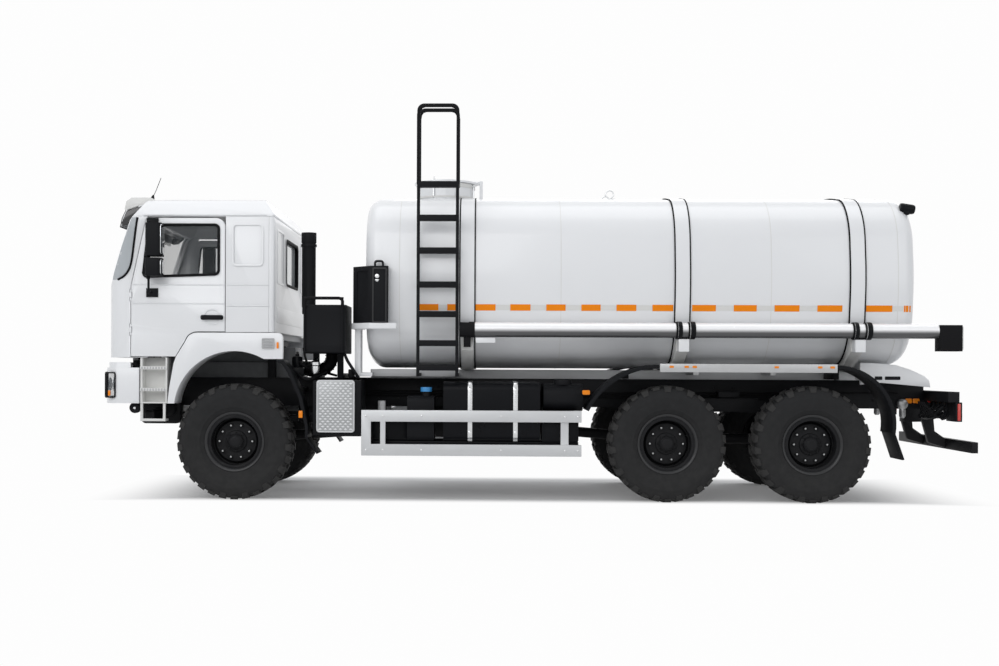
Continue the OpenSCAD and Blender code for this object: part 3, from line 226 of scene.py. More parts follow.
def chequer_plate(name, base, metal):
    """Aluminium with raised bars that lie crosswise, as on tread plate."""
    made = material(name, base, 0.36, metal=metal, vary=0.06, scale=14)
    tree = made.node_tree
    place = add(tree, "ShaderNodeTexCoord")["Object"]
    turn = add(tree, "ShaderNodeMapping", {"Vector": place, "Scale": (26, 26, 26),
                                           "Rotation": (0, radians(45), radians(45))})
    bars = add(tree, "ShaderNodeTexVoronoi", {"Vector": turn[0], "Randomness": 0.0})
    edge = add(tree, "ShaderNodeMapRange", {"Value": bars["Distance"], "From Min": 0.22, "From Max": 0.34,
                                            "To Min": 1, "To Max": 0})
    emboss(tree, edge[0], 0.7, 0.003)
    return made


def painted_reflection_steel(name):
    """Polished steel with a painted reflection: base colour bright on faces turned up and dark on faces turned down,
    for the sky above and the dark chassis below.
    """
    made = material(name, (0.96, 0.96, 0.965), 0.25, metal=0.12, vary=0.03, scale=20, rough_vary=0.05)
    tree = made.node_tree
    shader = tree.nodes["Principled BSDF"]
    bright = shader.inputs["Base Color"].links[0].from_socket
    facing = add(tree, "ShaderNodeNewGeometry")["Normal"]
    upward = add(tree, "ShaderNodeSeparateXYZ", {0: facing})["Z"]
    share = add(tree, "ShaderNodeMapRange", {"Value": upward, "From Min": -0.40, "From Max": 0.30},
                interpolation_type="SMOOTHSTEP")
    # Painted reflection: faces turned down take a dark base colour, faces turned up a bright one.
    feed(tree, shader, {"Base Color": blend(tree, share[0], (0.08, 0.081, 0.084), bright)})
    return made


def glass(name, tint, alpha):
    """Tinted pane: part see-through, part gloss."""
    made, tree, shader = blank(name)
    place = add(tree, "ShaderNodeTexCoord")["Object"]
    noise = add(tree, "ShaderNodeTexNoise", {"Vector": place, "Scale": 2.0})["Fac"]
    tone = blend(tree, noise, [c * 0.9 for c in tint], [c * 1.1 for c in tint])
    feed(tree, shader, {"Base Color": tone, "Roughness": 0.02, "Alpha": alpha, "IOR": 1.5})
    return made


FINISHES = {
    # colour, roughness and what else material() takes
    "body_white": ((0.80, 0.81, 0.82), 0.30, dict(vary=0.015, scale=2, coat=0.35, rough_vary=0.04)),
    "band_cream": ((0.70, 0.70, 0.68), 0.42, dict(vary=0.04, scale=5)),
    "chassis_black": ((0.007, 0.0075, 0.009), 0.5, dict(vary=0.25, scale=9, dust=0.05, bump=0.05, shine=0.12)),
    "engine_grey": ((0.14, 0.145, 0.15), 0.6, dict(metal=0.3, vary=0.25, scale=12, bump=0.25, bump_scale=90)),
    "frame_grey": ((0.45, 0.455, 0.46), 0.5, {}),
    "black_plastic": ((0.008, 0.0085, 0.010), 0.55, dict(vary=0.2, scale=10, bump=0.12, bump_scale=420, shine=0.10)),
    "gloss_black": ((0.006, 0.0065, 0.008), 0.30, dict(vary=0.15, scale=8, shine=0.08)),
    "guard_silver": ((0.56, 0.57, 0.58), 0.42, dict(metal=0.35, vary=0.06, scale=5)),
    "dull_steel": ((0.34, 0.345, 0.35), 0.4, dict(metal=0.8, vary=0.1, scale=30)),
    "bright_steel": ((0.62, 0.63, 0.64), 0.28, dict(metal=1.0, scale=30)),
    "lamp_lens": ((0.55, 0.03, 0.02), 0.18, dict(scale=40, coat=0.5)),
    "amber": ((0.88, 0.25, 0.008), 0.30, dict(vary=0.06, scale=40, coat=0.15, shine=0.2)),
    "orange_tape": ((0.90, 0.25, 0.005), 0.45, dict(vary=0.05, scale=60, bump=0.1, bump_scale=260, shine=0.15)),
    "blue_plastic": ((0.05, 0.28, 0.62), 0.4, dict(scale=20)),
    "rubber": ((0.006, 0.006, 0.007), 0.7, dict(vary=0.2, scale=18, bump=0.15, shine=0.12)),
    "tyre_rubber": ((0.017, 0.0175, 0.0185), 0.75,
                    dict(vary=0.25, scale=14, bump=0.3, bump_scale=160, dust=0.06, shine=0.17)),
    "lug_rubber": ((0.036, 0.0355, 0.035), 0.8, dict(vary=0.3, scale=16, bump=0.3, shine=0.2)),
    "rim_black": ((0.009, 0.0095, 0.011), 0.48, dict(vary=0.15, scale=12, dust=0.04, bump=0.05, shine=0.11)),
    "rim_satin": ((0.018, 0.0185, 0.020), 0.32, dict(vary=0.12, scale=12, shine=0.35)),
    "tread_bars": ((0.66, 0.67, 0.68), 0.34, dict(metal=0.35, vary=0.05, scale=20)),
    "mirror_glass": ((0.8, 0.82, 0.84), 0.03, dict(metal=1.0, vary=0.01, scale=2, rough_vary=0.01)),
    "interior_grey": ((0.10, 0.105, 0.11), 0.75, dict(vary=0.1, scale=8, bump=0.3, bump_scale=200)),
    "seat_cloth": ((0.09, 0.095, 0.11), 0.95, dict(vary=0.18, scale=60, bump=0.6, bump_scale=700)),
    # the windscreen wrap's pale opaque tone is a painted reflection of the bright studio
    "screen_glass_painted_reflection": ((0.42, 0.45, 0.47), 0.10, dict(vary=0.05, scale=3, coat=0.4)),
    # the rear window's pale opaque tone is a painted reflection of the bright studio
    "rear_glass_painted_reflection": ((0.50, 0.52, 0.53), 0.10, dict(vary=0.05, scale=3, coat=0.4)),
    "smoked": ((0.012, 0.012, 0.013), 0.15, dict(vary=0.1, coat=0.4)),
}
MAT = {name: material(name, base, rough, **more) for name, (base, rough, more) in FINISHES.items()}
MAT["chequer_aluminium"] = chequer_plate("chequer_aluminium", (0.40, 0.41, 0.42), 0.85)
MAT["walkway_grey"] = chequer_plate("walkway_grey", (0.45, 0.455, 0.46), 0.55)
# Steel whose bright top and dark underside are a painted reflection
MAT["tube_steel_painted_reflection"] = painted_reflection_steel("tube_steel_painted_reflection")
MAT["window_glass"] = glass("window_glass", (0.05, 0.06, 0.065), 0.18)
MAT["lamp_glass"] = glass("lamp_glass", (0.55, 0.58, 0.6), 0.35)

# Surfaces: weld the solids' split corners, round their edges and shade by angle

WELD = 2e-5
FLAT_ANGLE = radians(0.4)
EDGE_ANGLE = radians(38)


def shade_group(degrees):
    """Geometry nodes that shade smooth up to an angle between faces."""
    group = bpy.data.node_groups.new(f"shade_{degrees}", "GeometryNodeTree")
    for way in ("INPUT", "OUTPUT"):
        group.interface.new_socket("Geometry", in_out=way, socket_type="NodeSocketGeometry")
    start = add(group, "NodeGroupInput")
    faces = add(group, "GeometryNodeSetShadeSmooth", {"Geometry": start[0]})
    angle = add(group, "GeometryNodeInputMeshEdgeAngle")["Unsigned Angle"]
    less = add(group, "FunctionNodeCompare", {"A": angle, "B": radians(degrees)},
               data_type="FLOAT", operation="LESS_THAN")
    edges = add(group, "GeometryNodeSetShadeSmooth",
                {"Geometry": faces[0], "Shade Smooth": less["Result"]}, domain="EDGE")
    add(group, "NodeGroupOutput", {0: edges[0]})
    return group


SHADE = {degrees: shade_group(degrees) for degrees in (24, 40, 60)}


def surface(obj, bevel=0.0, shade=40, weld=False, flat=False):
    """Welds a solid's corners and joins its flat faces if asked, rounds edges by bevel metres
    and shades by angle."""
    if weld:
        step = obj.modifiers.new("weld", "WELD")
        step.merge_threshold = WELD
    if flat:
        step = obj.modifiers.new("flat", "DECIMATE")
        step.decimate_type = "DISSOLVE"
        step.angle_limit = FLAT_ANGLE
    if bevel:
        step = obj.modifiers.new("bevel", "BEVEL")
        step.width = bevel
        step.segments = 2
        step.limit_method = "ANGLE"
        step.angle_limit = EDGE_ANGLE
    step = obj.modifiers.new("shade", "NODES")
    step.node_group = SHADE[shade]


# Finish of each solid, with the rounding of its edges in millimetres

NODE_LOOK = {
    "chassis_black": {"frame": 3, "driveline": 4, "front_axle": 4, "rear_axles": 4, "leaf_springs": 2, "rear_beam": 4,
                      "knuckle_left": 3, "knuckle_right": 3, "tie_rod": 2},
    "engine_grey": {"engine": 6, "silencer": 3},
    "body_white": {"bumper": 6, "tail_fairing": 8, "tank": 0, "tank_bands": 0, "tank_bracket": 4, "manhole_lid": 4,
                   "cab_front": 8, "cab_roof": 12, "cab_rear": 8, "cab_sides": 5, "cab_fenders": 6, "visor": 4,
                   "door_left": 5, "door_right": 5},
    "lamp_lens": {"lamps": 4},
    "gloss_black": {"fuel_tank": 0, "air_tanks": 3},
    "black_plastic": {"service_tanks": 4, "battery_box": 4, "mudguards": 4, "air_intake": 3, "ladder": 4,
                      "extinguisher_box": 6, "mirror_left": 6, "mirror_right": 6},
    "guard_silver": {"side_guards": 4},
    "walkway_grey": {"walkway_plates": 2},
    "frame_grey": {"tank_subframe": 4, "cab_floor": 3},
    "band_cream": {"tank_cradles": 4, "cab_steps": 5},
    # Hose tubes take the steel with the painted reflection
    "tube_steel_painted_reflection": {"hose_tubes": 0},
    "rubber": {"hose_clamps": 3},
    "window_glass": {"cab_glass": 0, "door_glass_left": 0, "door_glass_right": 0},
    "interior_grey": {"cab_interior": 6},
    "tyre_rubber": {f"tyre_{axle}_{side}": 0 for axle in AXLE_NAMES for side in SIDE_NAMES.values()},
    "rim_black": {f"rim_{axle}_{side}": 2 for axle in AXLE_NAMES for side in SIDE_NAMES.values()},
}
for finish, solids in NODE_LOOK.items():
    for name, bevel in solids.items():
        solid = nodes[name]
        solid.data.materials.clear()
        solid.data.materials.append(MAT[finish])
        # Joined flat faces would close the openings between the guards' rails
        surface(solid, bevel / 1000, weld=True, flat=name != "side_guards")

# Shapes, drawn in the part's frame into one open mesh that piece() takes and empties

pen = bmesh.new()
AXES = {
    "x": lambda a, b, t: (t, a, b),
    "y": lambda a, b, t: (a, t, b),
    "z": lambda a, b, t: (a, b, t),
}


def around(count, turn=0.0):
    """Evenly spaced angles of a full turn."""
    return [turn + 2 * pi * i / count for i in range(count)]


def loft(rings, caps=True, loop=False):
    """Skin through rings of equal point counts; loop joins the last ring to the first."""
    rows = [[pen.verts.new(p) for p in ring] for ring in rings]
    count = len(rows[0])
    pairs = list(zip(rows, rows[1:])) + ([(rows[-1], rows[0])] if loop else [])
    for a, b in pairs:
        for i in range(count):
            j = (i + 1) % count
            pen.faces.new((a[i], a[j], b[j], b[i]))
    if caps and not loop:
        pen.faces.new(rows[0][::-1])
        pen.faces.new(rows[-1])


def sheet(rows):
    """Thin skin through rows of points."""
    rows = [[pen.verts.new(p) for p in row] for row in rows]
    for a, b in zip(rows, rows[1:]):
        for i in range(len(a) - 1):
            pen.faces.new((a[i], a[i + 1], b[i + 1], b[i]))


def prism(outline, axis, start, end):
    put = AXES[axis]
    loft([[put(a, b, t) for a, b in outline] for t in (start, end)])


def square(low, high):
    """Rectangle from two corners."""
    return [(low[0], low[1]), (high[0], low[1]), (high[0], high[1]), (low[0], high[1])]


def brick(low, high):
    prism(square(low, high), "z", low[2], high[2])


def plate_ring(outer, inner, axis, start, end):
    """Flat frame between two outlines of equal point counts."""
    put = AXES[axis]
    loft([[put(*p, t) for p in outline] for outline, t in
          ((outer, start), (outer, end), (inner, end), (inner, start))], loop=True)


def circle(middle, radius, count, turn=0.0):
    return [(middle[0] + radius * cos(a), middle[1] + radius * sin(a)) for a in around(count, turn)]


def rounded(low, high, r, steps=5):
    """Rectangle with rounded corners, counter-clockwise."""
    corners = ((high[0] - r, high[1] - r, 0), (low[0] + r, high[1] - r, 90),
               (low[0] + r, low[1] + r, 180), (high[0] - r, low[1] + r, 270))
    return [(x + r * cos(radians(a + 90 * i / steps)), y + r * sin(radians(a + 90 * i / steps)))
            for x, y, a in corners for i in range(steps + 1)]


def offset(outline, d):
    """A closed counter-clockwise outline moved outwards by d."""
    made = []
    for i, p in enumerate(outline):
        before, after = Vector(outline[i - 1]), Vector(outline[(i + 1) % len(outline)])
        along = (after - before).normalized()
        made.append((p[0] + along.y * d, p[1] - along.x * d))
    return made


def rim(outline, width, axis, start, end):
    """Flat frame of a width inside an outline."""
    plate_ring(outline, offset(outline, -width), axis, start, end)


def tube(path, radius, sides=8, loop=False):
    """Round bar along a path of points."""
    points = [Vector(p) for p in path]
    last = len(points) - 1
    rings = []
    normal = None
    for i, p in enumerate(points):
        a = points[i - 1] if i or loop else p
        b = points[(i + 1) % len(points)] if i < last or loop else p
        along = (b - a).normalized()
        if normal is None:
            normal = along.orthogonal().normalized()
        normal = (normal - along * normal.dot(along)).normalized()
        side = along.cross(normal)
        rings.append([p + radius * (cos(t) * normal + sin(t) * side) for t in around(sides)])
    loft(rings, loop=loop)


def bend(points, steps=6):
    """Smooth path through points."""
    points = [Vector(p) for p in points]
    made = []
    for i in range(len(points) - 1):
        p0 = points[max(i - 1, 0)]
        p1, p2 = points[i], points[i + 1]
        p3 = points[min(i + 2, len(points) - 1)]
        for k in range(steps):
            t = k / steps
            made.append(0.5 * (2 * p1 + (p2 - p0) * t + (2 * p0 - 5 * p1 + 4 * p2 - p3) * t * t
                               + (3 * p1 - p0 - 3 * p2 + p3) * t ** 3))
    return made + [points[-1]]


def lathe(profile, middle, axis, count=24):
    """Solid turned from (radius, distance) pairs about an axis through middle."""
    axis = Vector(axis).normalized()
    across = axis.orthogonal().normalized()
    other = axis.cross(across)
    middle = Vector(middle)
    loft([[middle + axis * t + max(r, 1e-4) * (cos(a) * across + sin(a) * other) for a in around(count)]
          for r, t in profile])


def side_outline(points):
    """Outline on the truck's side from stations and heights, both in millimetres."""
    return [(at(x), z / 1000) for x, z in points]


def side_rect(low, high, r):
    """Rounded outline on the truck's side from stations and heights in metres."""
    return rounded((at(low[0]), low[1]), (at(high[0]), high[1]), r)


def span(side, inner, outer):
    """Start and end in y of what lies between two distances off the middle, on one side."""
    return sorted((side * inner, side * outer))


def side_plate(outline, inner, outer, sides=SIDES):
    """Plates on the truck's sides, between two distances off the middle."""
    for side in sides:
        prism(outline, "y", *span(side, inner, outer))


def side_brick(low, high):
    """Blocks on both sides from corners given as station, distance off the middle and height."""
    for side in SIDES:
        start, end = span(side, low[1], high[1])
        brick((at(low[0]), start, low[2]), (at(high[0]), end, high[2]))


def hoop(outline, start, end, low, high):
    """Band round an outline between two stations, from low to high metres off it."""
    plate_ring(offset(outline, high), offset(outline, low), "x", at(start), at(end))


def piece(name, finish, body="chassis", bevel=0.0, shade=40, stands_for=()):
    """Turns what was drawn since the last piece into an object that rides on a body."""
    bmesh.ops.recalc_face_normals(pen, faces=pen.faces)
    mesh = bpy.data.meshes.new(name)
    pen.to_mesh(mesh)
    pen.clear()
    obj = bpy.data.objects.new(name, mesh)
    scene.collection.objects.link(obj)
    mesh.materials.append(MAT[finish])
    surface(obj, bevel, shade)
    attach(obj, body)
    if stands_for:
        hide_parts(*stands_for)
    return obj


def node_tree(node):
    """Search tree of a solid, to lay trim on its surface."""
    mesh = nodes[node].data
    return BVHTree.FromPolygons([v.co for v in mesh.vertices], [p.vertices for p in mesh.polygons])


def repaint(node, finish, test):
    """Second finish for the faces of a solid whose middle passes the test."""
    mesh = nodes[node].data
    mesh.materials.append(MAT[finish])
    index = len(mesh.materials) - 1
    for face in mesh.polygons:
        if test(face.center):
            face.material_index = index


# Wheels: lugged tyres, rim lips, hub bolts and stud ends

LUGS = 30
TYRE_STEPS = 84
RIM_STEPS = 72
TYRE_HALF = [
    # radius and distance from the tyre's middle plane
    (0.2545, 0.116), (0.2545, 0.129), (0.282, 0.129), (0.290, 0.142), (0.304, 0.154), (0.330, 0.171),
    (0.343, 0.178), (0.347, 0.1815), (0.355, 0.1845), (0.360, 0.1840), (0.390, 0.1935), (0.422, 0.1975),
    (0.455, 0.1985), (0.462, 0.1998), (0.474, 0.1998), (0.480, 0.1980), (0.512, 0.1930), (0.540, 0.183),
    (0.560, 0.166), (0.569, 0.140), (0.571, 0.070),
]
LUG_SECTIONS = [
    # distance out, outer radius, inner distance, inner radius, lean and half width as angles
    (0.012, 0.5895, 0.012, 0.560, 0.000, 0.058), (0.075, 0.5898, 0.075, 0.560, 0.030, 0.066),
    (0.138, 0.5885, 0.135, 0.556, 0.048, 0.067), (0.168, 0.5800, 0.150, 0.550, 0.054, 0.064),
    (0.186, 0.5580, 0.168, 0.540, 0.058, 0.057), (0.1955, 0.5280, 0.184, 0.520, 0.060, 0.050),
]
RIM_LIP = [(0.268, 0.127), (0.271, 0.141), (0.282, 0.153), (0.296, 0.162), (0.303, 0.161), (0.301, 0.150),
           (0.284, 0.127)]
HUB_BOLTS = 8
NUTS = 10


def wheel_point(middle, side, radius, out, angle):
    return middle + Vector((radius * cos(angle), side * out, radius * sin(angle)))


def wheel_bolts(middle, side, circle_r, count, size, start, end, corners=6):
    """Round or hexagonal heads on a circle about the wheel's axis."""
    for a in around(count):
        spot = (middle.x + circle_r * cos(a), middle.z + circle_r * sin(a))
        low, high = sorted((middle.y + side * start, middle.y + side * end))
        prism(circle(spot, size, corners, a), "y", low, high)


for axle in AXLE_NAMES:
    for side, side_name in SIDE_NAMES.items():
        body = f"wheel_{axle}_{side_name}"
        tyre_node = f"tyre_{axle}_{side_name}"
        middle = centre(tyre_node)
        profile = TYRE_HALF + [(r, -w) for r, w in reversed(TYRE_HALF)]
        loft([[wheel_point(middle, side, r, w, a) for r, w in profile] for a in around(TYRE_STEPS)], loop=True)
        for half in SIDES:
            for i in range(LUGS):
                start = 2 * pi * (i + (0.25 if half > 0 else -0.25)) / LUGS
                sections = LUG_SECTIONS if i % 2 else LUG_SECTIONS[:5]
                loft([[wheel_point(middle, side, r, half * w, start + half * lean + turn)
                       for w, r, turn in ((w_out, r_out, -wide), (w_out, r_out, wide),
                                          (w_in, r_in, wide * 1.12), (w_in, r_in, -wide * 1.12))]
                      for w_out, r_out, w_in, r_in, lean, wide in sections])
        tread = piece(f"tread_{axle}_{side_name}", "tyre_rubber", body, shade=24, stands_for=(tyre_node,))
        tread.data.materials.append(MAT["lug_rubber"])
        for face in tread.data.polygons[TYRE_STEPS * len(profile):]:
            face.material_index = 1
        loft([[wheel_point(middle, side, r, w, a) for r, w in RIM_LIP] for a in around(RIM_STEPS)], loop=True)
        piece(f"rim_lips_{axle}_{side_name}", "rim_satin", body, shade=60)
        wheel_bolts(middle, side, 0.096, HUB_BOLTS, 0.011, 0.030, 0.066)
        lathe([(0.060, 0.110), (0.060, 0.118), (0.052, 0.124), (0.030, 0.126)], middle, (0, side, 0))
        tube([wheel_point(middle, side, 0.215, w, 0.4) for w in (0.03, 0.06, 0.09)], 0.006)
        piece(f"hub_bolts_{axle}_{side_name}", "rim_black", body, bevel=0.0015)
        wheel_bolts(middle, side, 0.1675, NUTS, 0.0095, 0.060, 0.0735, corners=12)
        piece(f"stud_ends_{axle}_{side_name}", "dull_steel", body, bevel=0.002)

# Cab

FAR = 3  # clear of the truck's sides


def side_hit(tree, x, z, side):
    """Where a ray from that side of the truck meets a solid, or None."""
    return tree.ray_cast(Vector((x, side * FAR, z)), Vector((0, -side, 0)))[0]


def on_side(tree, x, z, side, lift):
    """Point on a solid's outside as met from that side of the truck."""
    hit = side_hit(tree, x, z, side)
    y = hit.y if hit is not None else side * SKIN
    return Vector((x, y + side * lift, z))


WINDOW_CORNERS = [
    # middle of each rounded corner and the angles of its points
    ((-200, 2325), (280, 300, 320, 340, 360)), ((-200, 2740), (0, 22, 45, 68, 90)),
    ((-830, 2740), (90, 110, 130, 150, 168)), ((-880, 2300), (190, 210, 230, 250, 265)),
]
WINDOW_R = 40
DOOR_WINDOW = side_outline([(x + WINDOW_R * cos(radians(a)), z + WINDOW_R * sin(radians(a)))
                            for (x, z), turns in WINDOW_CORNERS for a in turns])
SCREEN_SEAL = [(-985, 2858), (-1000, 2760), (-1020, 2600), (-1043, 2420), (-1072, 2325), (-1122, 2262), (-1185, 2228)]
BELT = (2175, 2183)
CREASE = (1985, 1991)
DOOR_FRONT, DOOR_BACK = -1040, -98
PANEL = ((-25, 2.363), (299, 2.798))
WRAP_ROWS, WRAP_COLUMNS = 8, 5
WRAP_STEP = 0.008
WRAP_REACH = 0.3

front_tree = node_tree("cab_front")
for side, side_name in SIDE_NAMES.items():
    door_body = f"door_{side_name}"
    # Window rubber, handle and pressings on the door
    plate_ring(offset(DOOR_WINDOW, 0.016), offset(DOOR_WINDOW, -0.010), "y",
               *span(side, SKIN - 0.034, SKIN + 0.006))
    piece(f"window_seal_{side_name}", "rubber", door_body, bevel=0.003)
    side_plate(side_rect((-334, 1.822), (-106, 1.871), 0.018), SKIN + 0.004, SKIN + 0.027, [side])
    side_plate(circle((at(-128), 1.847), 0.011, 16), SKIN + 0.024, SKIN + 0.030, [side])
    piece(f"door_handle_{side_name}", "black_plastic", door_body, bevel=0.006)
    plate_ring(circle((at(-222), 1.852), 0.080, 32), circle((at(-222), 1.852), 0.074, 32), "y",
               *span(side, SKIN - 0.002, SKIN + 0.004))
    for low, high in (BELT, CREASE):
        side_plate(side_outline(square((DOOR_FRONT, low), (DOOR_BACK, high))), SKIN - 0.002, SKIN + 0.004, [side])
    piece(f"door_pressings_{side_name}", "body_white", door_body, bevel=0.002)
    # Pressings on the panel behind the door and along the roof
    rim(side_rect(*PANEL, 0.05), 0.022, "y", *span(side, SKIN - 0.002, SKIN + 0.006))
    for low, high in (BELT, (1963, 1975)):
        side_plate(side_outline(square((-80, low), (355, high))), SKIN - 0.002, SKIN + 0.005, [side])
    side_plate(side_outline(square((-930, 2876), (330, 2890))), SKIN - 0.004, SKIN + 0.008, [side])
    piece(f"side_pressings_{side_name}", "body_white", "cab", bevel=0.003)
    # Windscreen's side wrap, a pale sheet with a painted reflection, and its seal
    seal = bend([on_side(front_tree, at(x), z / 1000, side, 0.004) for x, z in SCREEN_SEAL], 5)
    tube(seal, 0.011, 8)
    piece(f"screen_seal_{side_name}", "rubber", "cab")
    rows = []
    for k in range(WRAP_ROWS + 1):
        spot = seal[round(k * (len(seal) - 1) / WRAP_ROWS)]
        front_x = spot.x
        while side_hit(front_tree, front_x - WRAP_STEP, spot.z, side) is not None:
            front_x -= WRAP_STEP
            if front_x < spot.x - WRAP_REACH:
                break
        rows.append([on_side(front_tree, spot.x + (front_x - spot.x) * t / WRAP_COLUMNS, spot.z, side, 0.003)
                     for t in range(WRAP_COLUMNS + 1)])
    sheet(rows)
    # The wrap is an opaque pale sheet: its colour is a painted reflection on the glass.
    piece(f"screen_wrap_{side_name}", "screen_glass_painted_reflection", "cab", shade=60)
    # Fender louvre and side marker lamps
    rim(side_rect((284, 1.532), (412, 1.640), 0.01), 0.010, "y", *span(side, SKIN - 0.002, SKIN + 0.006))
    for i in range(6):
        z = 1.547 + i * 0.0155
        side_plate(square((at(294), z), (at(402), z + 0.007)), SKIN - 0.002, SKIN + 0.005, [side])
    piece(f"fender_louvre_{side_name}", "frame_grey", "cab", bevel=0.002)
    side_plate(side_rect((434, 1.535), (456, 1.600), 0.008), SKIN - 0.002, SKIN + 0.010, [side])
    piece(f"fender_marker_{side_name}", "amber", "cab", bevel=0.004)
    side_plate(side_rect((660, 0.838), (700, 0.910), 0.008), SKIN - 0.002, SKIN + 0.010, [side])
    side_plate(side_rect((3515, 1.085), (3590, 1.130), 0.010), SKIN - 0.060, SKIN - 0.010, [side])
    piece(f"guard_markers_{side_name}", "amber", bevel=0.004)
    # Mirror glasses and the joints of the mirror arm
    mirror_y = side * (SKIN + 0.120)
    for low, high in ((2.470, 2.770), (2.270, 2.420)):
        prism(rounded((mirror_y - 0.080, low), (mirror_y + 0.080, high), 0.03), "x", at(-703), at(-697))
    piece(f"mirror_glass_{side_name}", "mirror_glass", door_body, bevel=0.002)
    for z in (2.095, 2.245, 2.445, 2.79):
        lathe([(0.014, -0.020), (0.019, -0.016), (0.019, 0.016), (0.014, 0.020)],
              (at(-840), mirror_y, z), (0, 0, 1), 16)
    piece(f"mirror_joints_{side_name}", "black_plastic", door_body)

# Roof visor: dark side plates and lower edge, cap, marker lamps and aerial
VISOR_PLATE = [(-1139, 2934), (-1192, 2812), (-1165, 2790), (-1100, 2800), (-1040, 2850), (-985, 2930), (-930, 3000),
               (-1000, 2985)]
side_plate(side_outline(VISOR_PLATE), 1.086, 1.095)
prism(side_outline([(-1208, 2772), (-1188, 2867), (-1148, 2950), (-1140, 2946), (-1179, 2865), (-1199, 2770)]), "y",
      -1.092, 1.092)
piece("visor_shade", "smoked", "cab", bevel=0.003)
VISOR_CAP = [(-1150, 2945), (-1160, 2958), (-1142, 3040), (-1090, 3078), (-884, 3078), (-876, 3025), (-940, 3015)]
prism(side_outline(VISOR_CAP), "y", -1.094, 1.094)
piece("visor_cap", "band_cream", "cab", bevel=0.010)
for y in (-0.95, -0.3, 0.3, 0.95):
    prism(rounded((y - 0.045, 2.945), (y + 0.045, 2.972), 0.010), "x", at(-1168), at(-1130))
piece("visor_markers", "amber", "cab", bevel=0.003)
lathe([(0.020, 0.0), (0.020, 0.025), (0.010, 0.05), (0.004, 0.06)], (at(-916), -0.93, 3.068), (0.25, 0, 1), 16)
tube([(at(-912), -0.93, 3.09), (at(-875), -0.93, 3.17), (at(-824), -0.93, 3.30)], 0.0035, 6)
piece("aerial", "black_plastic", "cab")

# Front face: grille and wipers
face = at(-1290)
grille = rounded((-0.80, 1.515), (0.80, 2.010), 0.06)
plate_ring(offset(grille, 0.02), offset(grille, -0.03), "x", face - 0.012, face + 0.004)
for i in range(8):
    z = 1.565 + i * 0.054
    prism(square((-0.775, z), (0.775, z + 0.022)), "x", face - 0.009, face + 0.002)
for y in (-0.4, 0.0, 0.4):
    prism(square((y - 0.012, 1.545), (y + 0.012, 1.98)), "x", face - 0.006, face + 0.002)
piece("front_grille", "gloss_black", "cab", bevel=0.004)
SCREEN_LOW, SCREEN_HIGH = (-1255, 2215), (-1080, 2790)


def on_screen(y, t, lift):
    """Point on the windscreen, t from its lower to its upper edge."""
    x = SCREEN_LOW[0] + (SCREEN_HIGH[0] - SCREEN_LOW[0]) * t
    z = SCREEN_LOW[1] + (SCREEN_HIGH[1] - SCREEN_LOW[1]) * t
    return Vector((at(x) - lift, y, z / 1000 + lift * 0.3))


for y, reach in ((-0.95, 0.62), (-0.20, 0.62), (0.52, 0.50)):
    tube([on_screen(y, -0.02, 0.02), on_screen(y + 0.10, 0.05, 0.03), on_screen(y + reach, 0.16, 0.022)], 0.007, 6)
    tube([on_screen(y + reach - 0.36, 0.13, 0.012), on_screen(y + reach + 0.24, 0.21, 0.012)], 0.006, 6)
    lathe([(0.022, 0.0), (0.022, 0.03), (0.012, 0.045)], on_screen(y, -0.03, 0.0), (-1, 0, 0.2), 14)
piece("wipers", "black_plastic", "cab")
side_brick((-1262, 1.123, 2.198), (-1218, 1.147, 2.235))
side_plate(circle((at(-1237), 2.190), 0.020, 16), 1.10, 1.165)
piece("wiper_stops", "black_plastic", "cab", bevel=0.003)

# Back wall: painted reflection on the rear window, window rubber and pressed panels
# The rear window's faces take a pale opaque glass whose colour is a painted reflection.
repaint("cab_glass", "rear_glass_painted_reflection", lambda p: p.x > at(200))
back = at(410)
rear_window = rounded((-0.43, 2.23), (0.43, 2.70), 0.05)
plate_ring(offset(rear_window, 0.018), offset(rear_window, -0.010), "x", back - 0.05, back + 0.006)
piece("rear_window_seal", "rubber", "cab", bevel=0.003)
for side in SIDES:
    low, high = span(side, 0.62, 1.09)
    rim(rounded((low, 2.20), (high, 2.76), 0.05), 0.022, "x", back - 0.002, back + 0.006)
prism(rounded((-1.10, 1.80), (1.10, 1.96), 0.03), "x", back - 0.002, back + 0.005)
piece("rear_pressings", "body_white", "cab", bevel=0.003)

# Steps: tread grips
for z in (1.105, 1.325):
    for i in range(9):
        x = -945 + i * 29
        side_brick((x, 1.236, z - 0.002), (x + 18, 1.2385, z + 0.022))
piece("step_grips", "frame_grey", "cab", bevel=0.001)

# Bumper: lamp bezels, turn lamps, reflectors and buffers
repaint("lamps", "lamp_glass", lambda p: p.x < 0)
repaint("lamps", "black_plastic", lambda p: 0 < p.x < at(7309))
for side in SIDES:
    rim(side_rect((-1290, 1.030), (-1200, 1.292), 0.02), 0.014, "y", *span(side, SKIN - 0.030, SKIN + 0.003))
    low, high = span(side, 0.760, 1.170)
    rim(rounded((low - 0.012, 1.028), (high + 0.012, 1.294), 0.03), 0.018, "x", at(-1330), at(-1300))
piece("lamp_bezels", "gloss_black", bevel=0.004)
side_plate(side_rect((-1278, 1.052), (-1252, 1.105), 0.006), SKIN - 0.02, SKIN - 0.001)
piece("turn_lamps", "amber", bevel=0.003)
for side in SIDES:
    for y in (0.86, 1.02):
        lathe([(0.070, 0.0), (0.070, 0.012), (0.060, 0.010), (0.030, -0.004), (0.010, -0.006)],
              (at(-1316), side * y, 1.165), (-1, 0, 0))
piece("lamp_reflectors", "bright_steel")
buffers = {side: (at(-1033), side * 1.080, 0.928) for side in SIDES}
for side in SIDES:
    lathe([(0.054, -0.02), (0.056, 0.0), (0.056, 0.055), (0.048, 0.066), (0.030, 0.060), (0.010, 0.060)],
          buffers[side], (0, side, 0))
